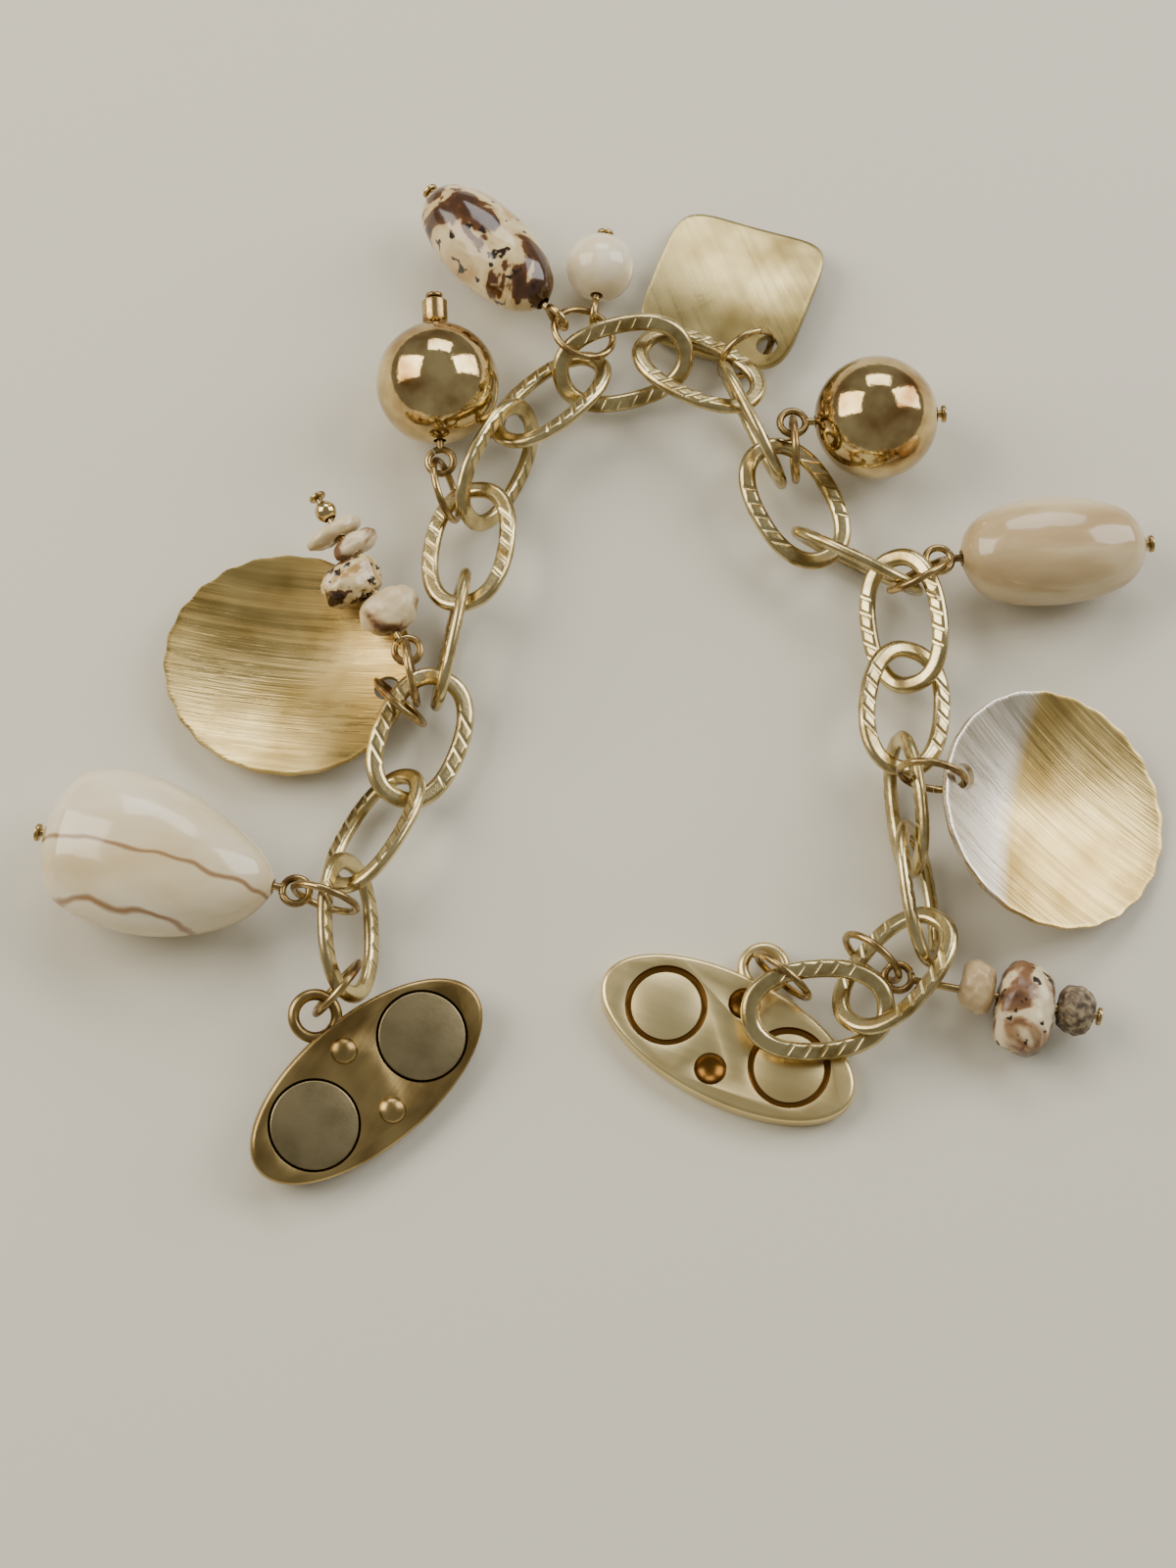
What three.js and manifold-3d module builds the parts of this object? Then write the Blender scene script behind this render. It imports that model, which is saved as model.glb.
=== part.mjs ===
// A charm bracelet laid open on a table: oval chain, eleven charms and a magnetic clasp in two halves.
// Millimetres, +Z up. X runs along the table, Y away from the viewer. The table is the plane z = 0.

import * as THREE from 'three';
import { mergeVertices } from 'three/addons/utils/BufferGeometryUtils.js';
import Module from 'manifold-3d';

const wasm = await Module();
wasm.setup();

// Chain links: flat oval loops of shaped wire. The flat face is this share of the wire's width.
const linkLength = 16.0;
const linkWidth = 10.4;
const linkWireWide = 1.9;
const linkWireThick = 1.2;
const linkFlatShare = 0.6;
const linkOvalPower = 2.3;
const linkSteps = 16;

// Jump rings: round wire rings that hold the charms and the clasp.
const ringOuter = 7.6;
const ringWire = 0.8;
const ringSteps = 12;

// Head pins: a straight wire with a flat head at one end and a turned loop at the other.
const pinWire = 0.8;
const pinLoopOuter = 3.6;
const pinHeadWide = 1.9;
const pinHeadThick = 0.5;
const pinNeck = 0.5;
const beigePinNeck = 4.6;
const wireSides = 5;

// Running clearance between a bead and the pin through it, and between pieces that sit side by side.
const clearance = 0.3;

// How far a cutting tool runs past the face that it cuts.
const overcut = 1;

// Beads.
const ballWide = 13.8;
const whiteBeadWide = 8.0;
const spacerBallWide = 2.8;
const endTubeWide = 2.8;
const endTubeLong = 2.6;
const nuggetLong = 25.0;
const nuggetWide = 18.0;
const nuggetTall = 13.0;
const jasperLong = 19.5;
const jasperWide = 9.6;
const jasperTall = 10.2;
const oliveLong = 20.5;
const oliveWide = 12.6;
const oliveTall = 11.0;
const beadSides = 14;
const stoneOvalPower = 2.2;

// Stone chips: length along the pin, width, height, and how far the chip sits off its drilling.
const chips = {
  clusterDrop: { long: 5.0, wide: 7.4, tall: 4.4, shift: -0.6 },
  clusterJasper: { long: 4.4, wide: 7.2, tall: 5.4, shift: 1.4 },
  clusterBrown: { long: 2.2, wide: 5.6, tall: 3.8, shift: -1.0 },
  clusterCream: { long: 1.8, wide: 7.0, tall: 4.2, shift: 0.4 },
  beigeFlat: { long: 3.6, wide: 6.0, tall: 5.0, shift: 0.6 },
  beigeMain: { long: 6.0, wide: 10.2, tall: 7.4, shift: -0.8 },
  beigeRough: { long: 3.8, wide: 5.4, tall: 5.4, shift: 0.2 },
};

// Sheet charms.
const discLong = 27.0;
const discWide = 25.4;
const discThick = 0.9;
const discDish = 2.2;
const discTeeth = 24;
const discTooth = 0.35;
const discHole = 2.8;
const discHoleInset = 2.5;
const squareSide = 18.0;
const squareThick = 1.0;
const squareSaddle = 1.6;
const squareCornerPower = 5;
const squareHole = 2.4;
const squareHoleInset = 2.9;

// Magnetic clasp: two almond plates that meet face to face.
const claspLong = 28.6;
const claspWide = 13.6;
const claspOvalPower = 2.0;
const claspThick = 2.6;
const claspEdge = 0.5;
const claspEyeOuter = 5.6;
const claspEyeWire = 1.2;
const claspEyeReach = 1.7;
const claspEyeDrop = 0.75;
const magnetSpacing = 14.2;
const magnetWide = 9.0;
const magnetThick = 1.7;
const magnetProud = 0.2;
const magnetGap = 0.25;
const recessWide = 8.6;
const recessDeep = 0.8;
const pegSpacing = 7.8;
const pegWide = 2.8;
const pegTall = 0.8;

// Directions and offsets are points in millimetres. Places on the table are given in sixteenths of a
// link's length, so that the whole layout grows with the chain.
const point = (x, y, z) => new THREE.Vector3(x, y, z);
const layoutStep = linkLength / 16;
const at = (x, y, z) => point(x, y, z).multiplyScalar(layoutStep);

// The route of the chain: the places where one link passes through the next, from the clasp half on
// the left, up and over the top of the arch, and down to the clasp half on the right.
const chainRoute = [
  [-24.6, -23.2, 4.8], [-25.0, -12.0, 5.2], [-19.8, -1.8, 4.2], [-15.8, 9.0, 4.6], [-13.6, 20.2, 5.9],
  [-12.2, 30.6, 5.2], [-7.6, 40.2, 5.0], [-0.8, 47.0, 4.4], [8.6, 49.2, 5.0], [16.0, 44.6, 5.8],
  [20.2, 35.2, 5.6], [24.9, 26.3, 4.6], [33.4, 21.4, 5.5], [34.5, 12.4, 4.2], [32.9, 1.3, 5.2],
  [33.9, -9.7, 5.3], [34.8, -18.4, 5.2], [28.4, -26.0, 4.6], [18.8, -26.8, 4.9],
].map(([x, y, z]) => at(x, y, z));

// How far each link is rolled about its own length, in degrees: 0 lies flat, 90 stands on edge, and a
// positive roll lifts the left-hand strand as seen along the route.
const linkRolls = [60, -42, 18, -80, -15, 62, -28, 35, -18, -80, -4, -71, 35, -17, 77, -66, 28, -14];

const up = point(0, 0, 1);
const degrees = Math.PI / 180;

// A closed body from rows of points, where each row is a closed ring of the same count.
// A loop joins its last row to its first; otherwise both ends are closed with a centre point.
function bodyFromRows(rows, isLoop) {
  const count = rows[0].length;
  const points = rows.flat();
  const faces = [];
  const spans = isLoop ? rows.length : rows.length - 1;
  for (let row = 0; row < spans; row += 1) {
    const here = row * count;
    const next = ((row + 1) % rows.length) * count;
    for (let side = 0; side < count; side += 1) {
      const after = (side + 1) % count;
      faces.push(here + side, here + after, next + after, here + side, next + after, next + side);
    }
  }
  if (!isLoop) {
    for (const [row, flip] of [[0, true], [rows.length - 1, false]]) {
      const middle = rows[row].reduce((sum, p) => sum.add(p), new THREE.Vector3()).divideScalar(count);
      const tip = points.push(middle) - 1;
      for (let side = 0; side < count; side += 1) {
        const a = row * count + side;
        const b = row * count + ((side + 1) % count);
        faces.push(...(flip ? [tip, b, a] : [tip, a, b]));
      }
    }
  }
  const numbers = points.flatMap((p) => p.toArray());
  const geometry = new THREE.BufferGeometry();
  geometry.setAttribute('position', new THREE.Float32BufferAttribute(numbers, 3));
  geometry.setIndex(faces);
  return geometry;
}

// Booleans on closed geometries.
function toSolid(geometry) {
  const bare = geometry.clone();
  bare.deleteAttribute('normal');
  bare.deleteAttribute('uv');
  const merged = mergeVertices(bare, 1e-4);
  return new wasm.Manifold(new wasm.Mesh({
    numProp: 3,
    vertProperties: Float32Array.from(merged.attributes.position.array),
    triVerts: Uint32Array.from(merged.index.array),
  }));
}

function toGeometry(solid) {
  const mesh = solid.getMesh();
  const geometry = new THREE.BufferGeometry();
  geometry.setAttribute('position', new THREE.BufferAttribute(mesh.vertProperties, 3));
  geometry.setIndex(new THREE.BufferAttribute(mesh.triVerts, 1));
  return geometry;
}

function join(...geometries) {
  return toGeometry(geometries.map(toSolid).reduce((all, one) => all.add(one)));
}

function cut(geometry, ...tools) {
  return toGeometry(tools.map(toSolid).reduce((left, tool) => left.subtract(tool), toSolid(geometry)));
}

// An oval in the XY plane whose power sets its squareness: 2 is an ellipse, more is squarer.
function ovalPoint(angle, halfLong, halfWide, power) {
  const shape = (value) => Math.sign(value) * Math.abs(value) ** (2 / power);
  return new THREE.Vector2(halfLong * shape(Math.cos(angle)), halfWide * shape(Math.sin(angle)));
}

// A closed loop of wire in the XY plane. The section is given as [outward, upward] offsets.
function wireLoop(halfLong, halfWide, power, steps, section) {
  const centres = Array.from({ length: steps }, (_, k) => {
    const angle = (2 * Math.PI * (k + 0.5)) / steps;
    return ovalPoint(angle, halfLong, halfWide, power);
  });
  const rows = centres.map((centre, k) => {
    const before = centres[(k + steps - 1) % steps];
    const after = centres[(k + 1) % steps];
    const along = after.clone().sub(before).normalize();
    return section.map(([out, rise]) => new THREE.Vector3(
      centre.x + along.y * out,
      centre.y - along.x * out,
      rise,
    ));
  });
  return bodyFromRows(rows, true);
}

function roundSection(width, sides) {
  return Array.from({ length: sides }, (_, k) => {
    const angle = (-2 * Math.PI * (k + 0.5)) / sides;
    return [Math.cos(angle) * width / 2, Math.sin(angle) * width / 2];
  });
}

function linkGeometry() {
  const flat = linkWireWide * linkFlatShare / 2;
  const section = [
    [linkWireWide / 2, 0], [flat, -linkWireThick / 2], [-flat, -linkWireThick / 2],
    [-linkWireWide / 2, 0], [-flat, linkWireThick / 2], [flat, linkWireThick / 2],
  ];
  const halfLong = (linkLength - linkWireWide) / 2;
  const halfWide = (linkWidth - linkWireWide) / 2;
  return wireLoop(halfLong, halfWide, linkOvalPower, linkSteps, section);
}

function ringGeometry() {
  const half = (ringOuter - ringWire) / 2;
  return wireLoop(half, half, 2, ringSteps, roundSection(ringWire, wireSides));
}

// A head pin along +X: its loop is centred on the origin and its shaft runs to shaftEnd.
function headPinGeometry(shaftEnd) {
  const half = (pinLoopOuter - pinWire) / 2;
  const loop = wireLoop(half, half, 2, ringSteps, roundSection(pinWire, wireSides));
  const shaftStart = half - pinWire / 4;
  const shaft = new THREE.CylinderGeometry(pinWire / 2, pinWire / 2, shaftEnd - shaftStart, 6);
  shaft.rotateZ(-Math.PI / 2).translate((shaftStart + shaftEnd) / 2, 0, 0);
  const head = new THREE.CylinderGeometry(pinHeadWide / 2, pinHeadWide / 2, pinHeadThick, 8);
  head.rotateZ(-Math.PI / 2).translate(shaftEnd, 0, 0);
  return join(loop, shaft, head);
}

// A drill along X through a bead that threads onto a pin.
function drill(length) {
  const radius = pinWire / 2 + clearance;
  return new THREE.CylinderGeometry(radius, radius, length + 2 * overcut, 8).rotateZ(Math.PI / 2);
}

function ballGeometry(width, sides) {
  const ball = new THREE.SphereGeometry(width / 2, sides, sides / 2).rotateZ(Math.PI / 2);
  return cut(ball, drill(width));
}

// The short tube on the far end of a ball's pin.
function tubeGeometry() {
  const tube = new THREE.CylinderGeometry(endTubeWide / 2, endTubeWide / 2, endTubeLong, 12);
  return cut(tube.rotateZ(Math.PI / 2), drill(endTubeLong));
}

// A stone bead along +X, lofted through sections. Each row gives shares of the named sizes: how far
// along it lies, how wide and how tall it is there, and how far it is shifted sideways.
function stoneBody(rows, long, wide, tall) {
  const sections = rows.map(({ along, across, rise, shift }) => {
    return Array.from({ length: beadSides }, (_, k) => {
      const angle = (2 * Math.PI * (k + 0.5)) / beadSides;
      const p = ovalPoint(angle, wide * across / 2, tall * rise / 2, stoneOvalPower);
      return new THREE.Vector3((along - 0.5) * long, p.x + shift * wide, p.y);
    });
  });
  return bodyFromRows(sections, false);
}

function stoneGeometry(rows, long, wide, tall) {
  return cut(stoneBody(rows, long, wide, tall), drill(long));
}

function chipGeometry(rows, { long, wide, tall, shift }) {
  return cut(stoneBody(rows, long, wide, tall).translate(0, shift, 0), drill(long));
}

const nuggetRows = [
  { along: 0, across: 0.45, rise: 0.4, shift: 0.02 },
  { along: 0.05, across: 0.72, rise: 0.66, shift: 0.03 },
  { along: 0.2, across: 0.94, rise: 0.92, shift: 0.03 },
  { along: 0.42, across: 1, rise: 1, shift: 0 },
  { along: 0.64, across: 0.86, rise: 0.9, shift: -0.02 },
  { along: 0.84, across: 0.58, rise: 0.64, shift: -0.03 },
  { along: 0.97, across: 0.3, rise: 0.36, shift: -0.02 },
  { along: 1, across: 0.2, rise: 0.26, shift: 0 },
];

const jasperRows = [
  { along: 0, across: 0.32, rise: 0.36, shift: 0 },
  { along: 0.08, across: 0.62, rise: 0.62, shift: 0.02 },
  { along: 0.28, across: 0.92, rise: 0.92, shift: 0 },
  { along: 0.52, across: 1, rise: 1, shift: 0 },
  { along: 0.76, across: 0.86, rise: 0.86, shift: -0.03 },
  { along: 0.94, across: 0.52, rise: 0.56, shift: -0.03 },
  { along: 1, across: 0.28, rise: 0.3, shift: 0 },
];

const oliveRows = [
  { along: 0, across: 0.34, rise: 0.36, shift: 0 },
  { along: 0.06, across: 0.6, rise: 0.6, shift: 0 },
  { along: 0.22, across: 0.88, rise: 0.88, shift: 0 },
  { along: 0.5, across: 1, rise: 1, shift: 0 },
  { along: 0.78, across: 0.88, rise: 0.88, shift: 0 },
  { along: 0.94, across: 0.6, rise: 0.6, shift: 0 },
  { along: 1, across: 0.34, rise: 0.36, shift: 0 },
];

const chipRows = [
  { along: 0, across: 0.6, rise: 0.55, shift: 0 },
  { along: 0.2, across: 0.92, rise: 0.95, shift: 0.03 },
  { along: 0.6, across: 1, rise: 1, shift: 0 },
  { along: 0.85, across: 0.84, rise: 0.8, shift: -0.03 },
  { along: 1, across: 0.5, rise: 0.5, shift: 0 },
];

const dropRows = [
  { along: 0, across: 0.34, rise: 0.4, shift: 0 },
  { along: 0.2, across: 0.74, rise: 0.8, shift: 0.02 },
  { along: 0.55, across: 1, rise: 1, shift: 0 },
  { along: 0.85, across: 0.8, rise: 0.8, shift: 0 },
  { along: 1, across: 0.4, rise: 0.45, shift: 0 },
];

// An upright round cutting tool that stands on a height.
function roundTool(width, height, x, y, bottom, sides) {
  const tool = new THREE.CylinderGeometry(width / 2, width / 2, height, sides).rotateX(Math.PI / 2);
  return tool.translate(x, y, bottom + height / 2);
}

// A thin dished plate over an outline, with rings of points at shares of the way out to its rim:
// outwards along the underside, then back inwards along the top.
function dishedPlate(outline, thick, heightAt, hole) {
  const shares = [0.4, 0.75, 1];
  const layer = (lift, order) => order.map((share) => outline.map((p) => new THREE.Vector3(
    p.x * share,
    p.y * share,
    heightAt(p.x * share, p.y * share) + lift,
  )));
  const plate = bodyFromRows([...layer(0, shares), ...layer(thick, [...shares].reverse())], false);
  const bottom = heightAt(hole.x, hole.y) - overcut;
  return cut(plate, roundTool(hole.wide, thick + 2 * overcut, hole.x, hole.y, bottom, 10));
}

// The big disc: nearly round, dished, with a wavy rim, and a hole near its edge on the +X side.
function discGeometry() {
  const steps = discTeeth * 2;
  const outline = Array.from({ length: steps }, (_, k) => {
    const angle = (2 * Math.PI * k) / steps;
    const tooth = k % 2 ? -discTooth : 0;
    return new THREE.Vector2(
      Math.cos(angle) * (discLong / 2 + tooth),
      Math.sin(angle) * (discWide / 2 + tooth),
    );
  });
  const heightAt = (x, y) => discDish * ((2 * x / discLong) ** 2 + (2 * y / discWide) ** 2);
  const hole = { x: discLong / 2 - discHoleInset, y: 0, wide: discHole };
  return dishedPlate(outline, discThick, heightAt, hole);
}

// The square plate: rounded corners and a saddle bend, with a hole near one corner.
function squareGeometry() {
  const steps = 32;
  const outline = Array.from({ length: steps }, (_, k) => {
    const angle = (2 * Math.PI * k) / steps;
    return ovalPoint(angle, squareSide / 2, squareSide / 2, squareCornerPower);
  });
  const heightAt = (x, y) => {
    return squareSaddle * ((2 * x / squareSide) ** 2 - (2 * y / squareSide) ** 2 + 1) / 2;
  };
  const corner = squareSide / 2 - squareHoleInset;
  return dishedPlate(outline, squareThick, heightAt, { x: corner, y: -corner, wide: squareHole });
}

// A clasp plate lies in XY with its face up, its underside at z = 0 and its eye on the +Y side.
function claspPlate() {
  const steps = 32;
  const ring = (inset, z) => Array.from({ length: steps }, (_, k) => {
    const angle = (2 * Math.PI * (k + 0.5)) / steps;
    const p = ovalPoint(angle, claspLong / 2 - inset, claspWide / 2 - inset, claspOvalPower);
    return new THREE.Vector3(p.x, p.y, z);
  });
  const plate = bodyFromRows([
    ring(claspEdge, 0), ring(0, claspEdge), ring(0, claspThick - claspEdge), ring(claspEdge, claspThick),
  ], false);
  const eyeHalf = (claspEyeOuter - claspEyeWire) / 2;
  const eye = wireLoop(eyeHalf, eyeHalf, 2, ringSteps, roundSection(claspEyeWire, 6));
  eye.translate(0, claspWide / 2 + claspEyeReach, claspThick - claspEyeDrop);
  return join(plate, eye);
}

function magnetPlateGeometry() {
  const pocket = magnetThick - magnetProud + magnetGap;
  const tools = [-1, 1].map((side) => roundTool(
    magnetWide + 2 * magnetGap, pocket + overcut, side * magnetSpacing / 2, 0, claspThick - pocket, 20,
  ));
  const pegs = [-1, 1].map((side) => {
    const peg = new THREE.SphereGeometry(pegWide / 2, 10, 6).rotateX(Math.PI / 2);
    peg.scale(1, 1, (2 * pegTall) / pegWide);
    return peg.translate(0, side * pegSpacing / 2, claspThick);
  });
  return join(cut(claspPlate(), ...tools), ...pegs);
}

function recessPlateGeometry() {
  const recesses = [-1, 1].map((side) => roundTool(
    recessWide, recessDeep + overcut, side * magnetSpacing / 2, 0, claspThick - recessDeep, 20,
  ));
  const sockets = [-1, 1].map((side) => {
    const socket = new THREE.SphereGeometry(pegWide / 2 + clearance, 10, 6).rotateX(Math.PI / 2);
    socket.scale(1, 1, (2 * (pegTall + clearance)) / (pegWide + 2 * clearance));
    return socket.translate(0, side * pegSpacing / 2, claspThick);
  });
  return cut(claspPlate(), ...recesses, ...sockets);
}

function magnetGeometry() {
  return new THREE.CylinderGeometry(magnetWide / 2, magnetWide / 2, magnetThick, 20).rotateX(Math.PI / 2);
}

// Materials.
function metal(color, roughness) {
  return new THREE.MeshStandardMaterial({ color, roughness, metalness: 1 });
}

function stone(color, roughness) {
  return new THREE.MeshStandardMaterial({ color, roughness, metalness: 0 });
}

const chainGold = metal('#b9a77a', 0.28);
const wireGold = metal('#a8946a', 0.3);
const mirrorGold = metal('#c8b078', 0.12);
const brushedGold = metal('#bfa468', 0.4);
const claspGold = metal('#c6ac72', 0.35);
const magnetGrey = metal('#8b8468', 0.5);
const creamStone = stone('#dcd0b4', 0.25);
const jasperStone = stone('#a98a63', 0.2);
const whiteStone = stone('#ece8dc', 0.3);
const beigeStone = stone('#c9b795', 0.35);
const speckleStone = stone('#8a7a62', 0.5);

const bracelet = new THREE.Group();

function add(name, geometry, material, parent) {
  const mesh = new THREE.Mesh(geometry, material);
  mesh.name = name;
  (parent ?? bracelet).add(mesh);
  return mesh;
}

// Turns and moves an object so that its own X runs along heading, with its Y tilted up by roll.
function place(object, centre, heading, roll) {
  const x = heading.clone().normalize();
  const left = up.clone().cross(x).normalize();
  const level = x.clone().cross(left);
  const y = left.multiplyScalar(Math.cos(roll * degrees)).addScaledVector(level, Math.sin(roll * degrees));
  const z = x.clone().cross(y);
  object.quaternion.setFromRotationMatrix(new THREE.Matrix4().makeBasis(x, y, z));
  object.position.copy(centre);
  return object;
}

// The chain.
linkRolls.forEach((roll, k) => {
  const from = chainRoute[k];
  const to = chainRoute[k + 1];
  const link = add(`chain_link_${String(k + 1).padStart(2, '0')}`, linkGeometry(), chainGold);
  place(link, from.clone().add(to).divideScalar(2), to.clone().sub(from), roll);
});

// A jump ring given by its centre and the direction that its hole faces.
function ringFrame({ normal }) {
  const z = normal.clone().normalize();
  const x = point(0, 1, 0).cross(z).normalize();
  return new THREE.Matrix4().makeBasis(x, z.clone().cross(x), z);
}

function onRing(ring, angle) {
  const half = (ringOuter - ringWire) / 2;
  const local = point(Math.cos(angle * degrees) * half, Math.sin(angle * degrees) * half, 0);
  return local.applyMatrix4(ringFrame(ring)).add(ring.centre);
}

function addRing(name, ring) {
  const mesh = add(name, ringGeometry(), wireGold);
  mesh.quaternion.setFromRotationMatrix(ringFrame(ring));
  mesh.position.copy(ring.centre);
}

// A charm on a head pin: a group whose X runs from the pin's loop along the pin. The beads are
// [name, geometry, length, material] in order from the loop, and the pin is long enough for them all.
function addPinCharm(name, loopAt, heading, roll, neck, beads) {
  const charm = new THREE.Group();
  place(charm, loopAt, heading, roll);
  bracelet.add(charm);
  let reach = pinLoopOuter / 2 + neck;
  for (const [beadName, geometry, length, material] of beads) {
    add(beadName, geometry, material, charm).position.x = reach + length / 2;
    reach += length + clearance;
  }
  add(`${name}_pin`, headPinGeometry(reach + pinHeadThick / 2), wireGold, charm);
}

// Cream nugget on the left, hung from the first link.
addPinCharm('nugget', at(-30.2, -14.2, 6.7), point(-1, 0.24, -0.01), 0, pinNeck, [
  ['nugget_bead', stoneGeometry(nuggetRows, nuggetLong, nuggetWide, nuggetTall).rotateZ(Math.PI),
    nuggetLong, creamStone],
]);
addRing('nugget_ring', { centre: at(-27.1, -15.1, 7.1), normal: point(0.3, 0.95, 0) });

// Brushed disc on the left, through its hole to the third link.
function addDisc(name, holeAt, heading, ring) {
  const holeReach = discLong / 2 - discHoleInset;
  const disc = add(`${name}_disc`, discGeometry(), brushedGold);
  place(disc, point(0, 0, 0), heading, 0);
  const holeHeight = discDish * (2 * holeReach / discLong) ** 2 + discThick / 2;
  const holeOffset = disc.localToWorld(point(holeReach, 0, holeHeight));
  disc.position.copy(holeAt).sub(holeOffset);
  addRing(`${name}_ring`, ring);
}
addDisc('left', at(-21.6, 10.0, 2.2), point(0.97, -0.24, 0), {
  centre: at(-20.1, 7.8, 4.0),
  normal: point(0.67, 0.67, 0.32),
});

// Cluster of stone chips above the disc, hung from the third link's far end.
addPinCharm('cluster', at(-19.3, 13.1, 5.8), point(-0.5, 0.87, 0.05), 0, pinNeck, [
  ['cluster_drop_chip', chipGeometry(dropRows, chips.clusterDrop), chips.clusterDrop.long, creamStone],
  ['cluster_jasper_chip', chipGeometry(chipRows, chips.clusterJasper), chips.clusterJasper.long,
    jasperStone],
  ['cluster_brown_chip', chipGeometry(chipRows, chips.clusterBrown), chips.clusterBrown.long,
    speckleStone],
  ['cluster_cream_chip', chipGeometry(chipRows, chips.clusterCream), chips.clusterCream.long, creamStone],
  ['cluster_ball', ballGeometry(spacerBallWide, 10), spacerBallWide, mirrorGold],
]);
addRing('cluster_ring', { centre: at(-18.8, 10.0, 7.1), normal: point(0.98, 0.18, 0.05) });

// Gold ball with an end tube, hung from the fifth link.
addPinCharm('first_ball', at(-16.1, 35.3, 6.0), point(-0.05, 1, 0.1), 0, pinNeck, [
  ['first_ball_bead', ballGeometry(ballWide, 16), ballWide, mirrorGold],
  ['first_ball_tube', tubeGeometry(), endTubeLong, wireGold],
]);
addRing('first_ball_ring', { centre: at(-15.5, 31.9, 5.9), normal: point(0.93, 0.18, 0.31) });

// Jasper nugget and white bead, which share a ring on the eighth link.
const sharedRing = { centre: at(-0.5, 51.1, 6.1), normal: point(0.318, 0.25, 1) };
addPinCharm('jasper', onRing(sharedRing, 150), point(-0.65, 0.76, -0.06), 90, pinNeck, [
  ['jasper_bead', stoneGeometry(jasperRows, jasperLong, jasperWide, jasperTall).rotateZ(Math.PI),
    jasperLong, jasperStone],
]);
addPinCharm('white', onRing(sharedRing, 65), point(0.12, 1, -0.08), 90, pinNeck, [
  ['white_bead', ballGeometry(whiteBeadWide, 14), whiteBeadWide, whiteStone],
]);
addRing('shared_ring', sharedRing);

// Square plate, hung by a corner from the ninth link.
const square = add('square_plate', squareGeometry(), brushedGold);
place(square, at(16.5, 58.7, 0.9), point(0.94, -0.34, 0.08), -3);
addRing('square_ring', { centre: at(17.6, 49.6, 4.0), normal: point(0.53, -0.83, 0.18) });

// Second gold ball, hung from the eleventh link.
addPinCharm('second_ball', at(22.4, 39.4, 7.3), point(1, 0.08, -0.03), 0, pinNeck, [
  ['second_ball_bead', ballGeometry(ballWide, 16), ballWide, mirrorGold],
]);
addRing('second_ball_ring', { centre: at(22.5, 36.2, 7.2), normal: point(1, 0.04, 0.04) });

// Olive bead, hung from the thirteenth link.
addPinCharm('olive', at(37.8, 23.4, 6.4), point(1, 0.1, -0.04), 0, pinNeck, [
  ['olive_bead', stoneGeometry(oliveRows, oliveLong, oliveWide, oliveTall), oliveLong, beigeStone],
]);
addRing('olive_ring', { centre: at(35.4, 21.1, 7.5), normal: point(0.48, -0.77, -0.41) });

// Brushed disc on the right, tilted, hung from the fourteenth link.
addDisc('right', at(38.7, -3.1, 10.5), point(-0.88, 0.18, 0.43), {
  centre: at(35.6, -2.9, 10.5),
  normal: point(0.2, 0.98, -0.05),
});

// Cluster of beige beads, hung from the seventeenth link and passing beneath it.
addPinCharm('beige', at(32.0, -22.7, 4.0), point(1, -0.2, -0.01), 0, beigePinNeck, [
  ['beige_flat_chip', chipGeometry(chipRows, chips.beigeFlat), chips.beigeFlat.long, beigeStone],
  ['beige_main_chip', chipGeometry(chipRows, chips.beigeMain), chips.beigeMain.long, creamStone],
  ['beige_rough_chip', chipGeometry(chipRows, chips.beigeRough), chips.beigeRough.long, speckleStone],
]);
addRing('beige_ring', { centre: at(29.4, -20.6, 4.1), normal: point(0.64, 0.77, -0.08) });

// The clasp halves and their rings.
const magnetHalf = add('magnet_half', magnetPlateGeometry(), claspGold);
place(magnetHalf, at(-22.8, -33.2, 1.9), point(0.755, 0.656, 0), 16);
addRing('magnet_half_ring', { centre: at(-25.6, -24.6, 6.6), normal: point(-0.75, 0.58, 0.32) });
for (const [name, side] of [['near', -1], ['far', 1]]) {
  const magnet = add(`magnet_${name}`, magnetGeometry(), magnetGrey, magnetHalf);
  magnet.position.set(side * magnetSpacing / 2, 0, claspThick + magnetProud - magnetThick / 2);
}
const recessHalf = add('recess_half', recessPlateGeometry(), claspGold);
place(recessHalf, at(14.35, -28.6, 0), point(0.884, -0.468, 0), 0);
addRing('recess_half_ring', { centre: at(20.1, -22.5, 3.9), normal: point(0.64, 0.76, 0.07) });

// The finished part stands on z = 0 with its middle over the origin.
bracelet.updateMatrixWorld(true);
const box = new THREE.Box3().setFromObject(bracelet, true);
const middle = box.getCenter(new THREE.Vector3());
bracelet.position.set(-middle.x, -middle.y, -box.min.z);

export default bracelet;
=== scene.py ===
# %% [markdown]
# Charm bracelet, dressed in Blender.
#
# The CAD model has already settled where every piece lies. This lesson gives each piece its finished
# shape and surface: wire that is bent and cut, plates that are pressed and brushed, stones that are
# tumbled and drilled. Shapes are measured in metres, and mm turns a size in millimetres into metres.
# The patterns in the materials are measured in millimetres.

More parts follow.
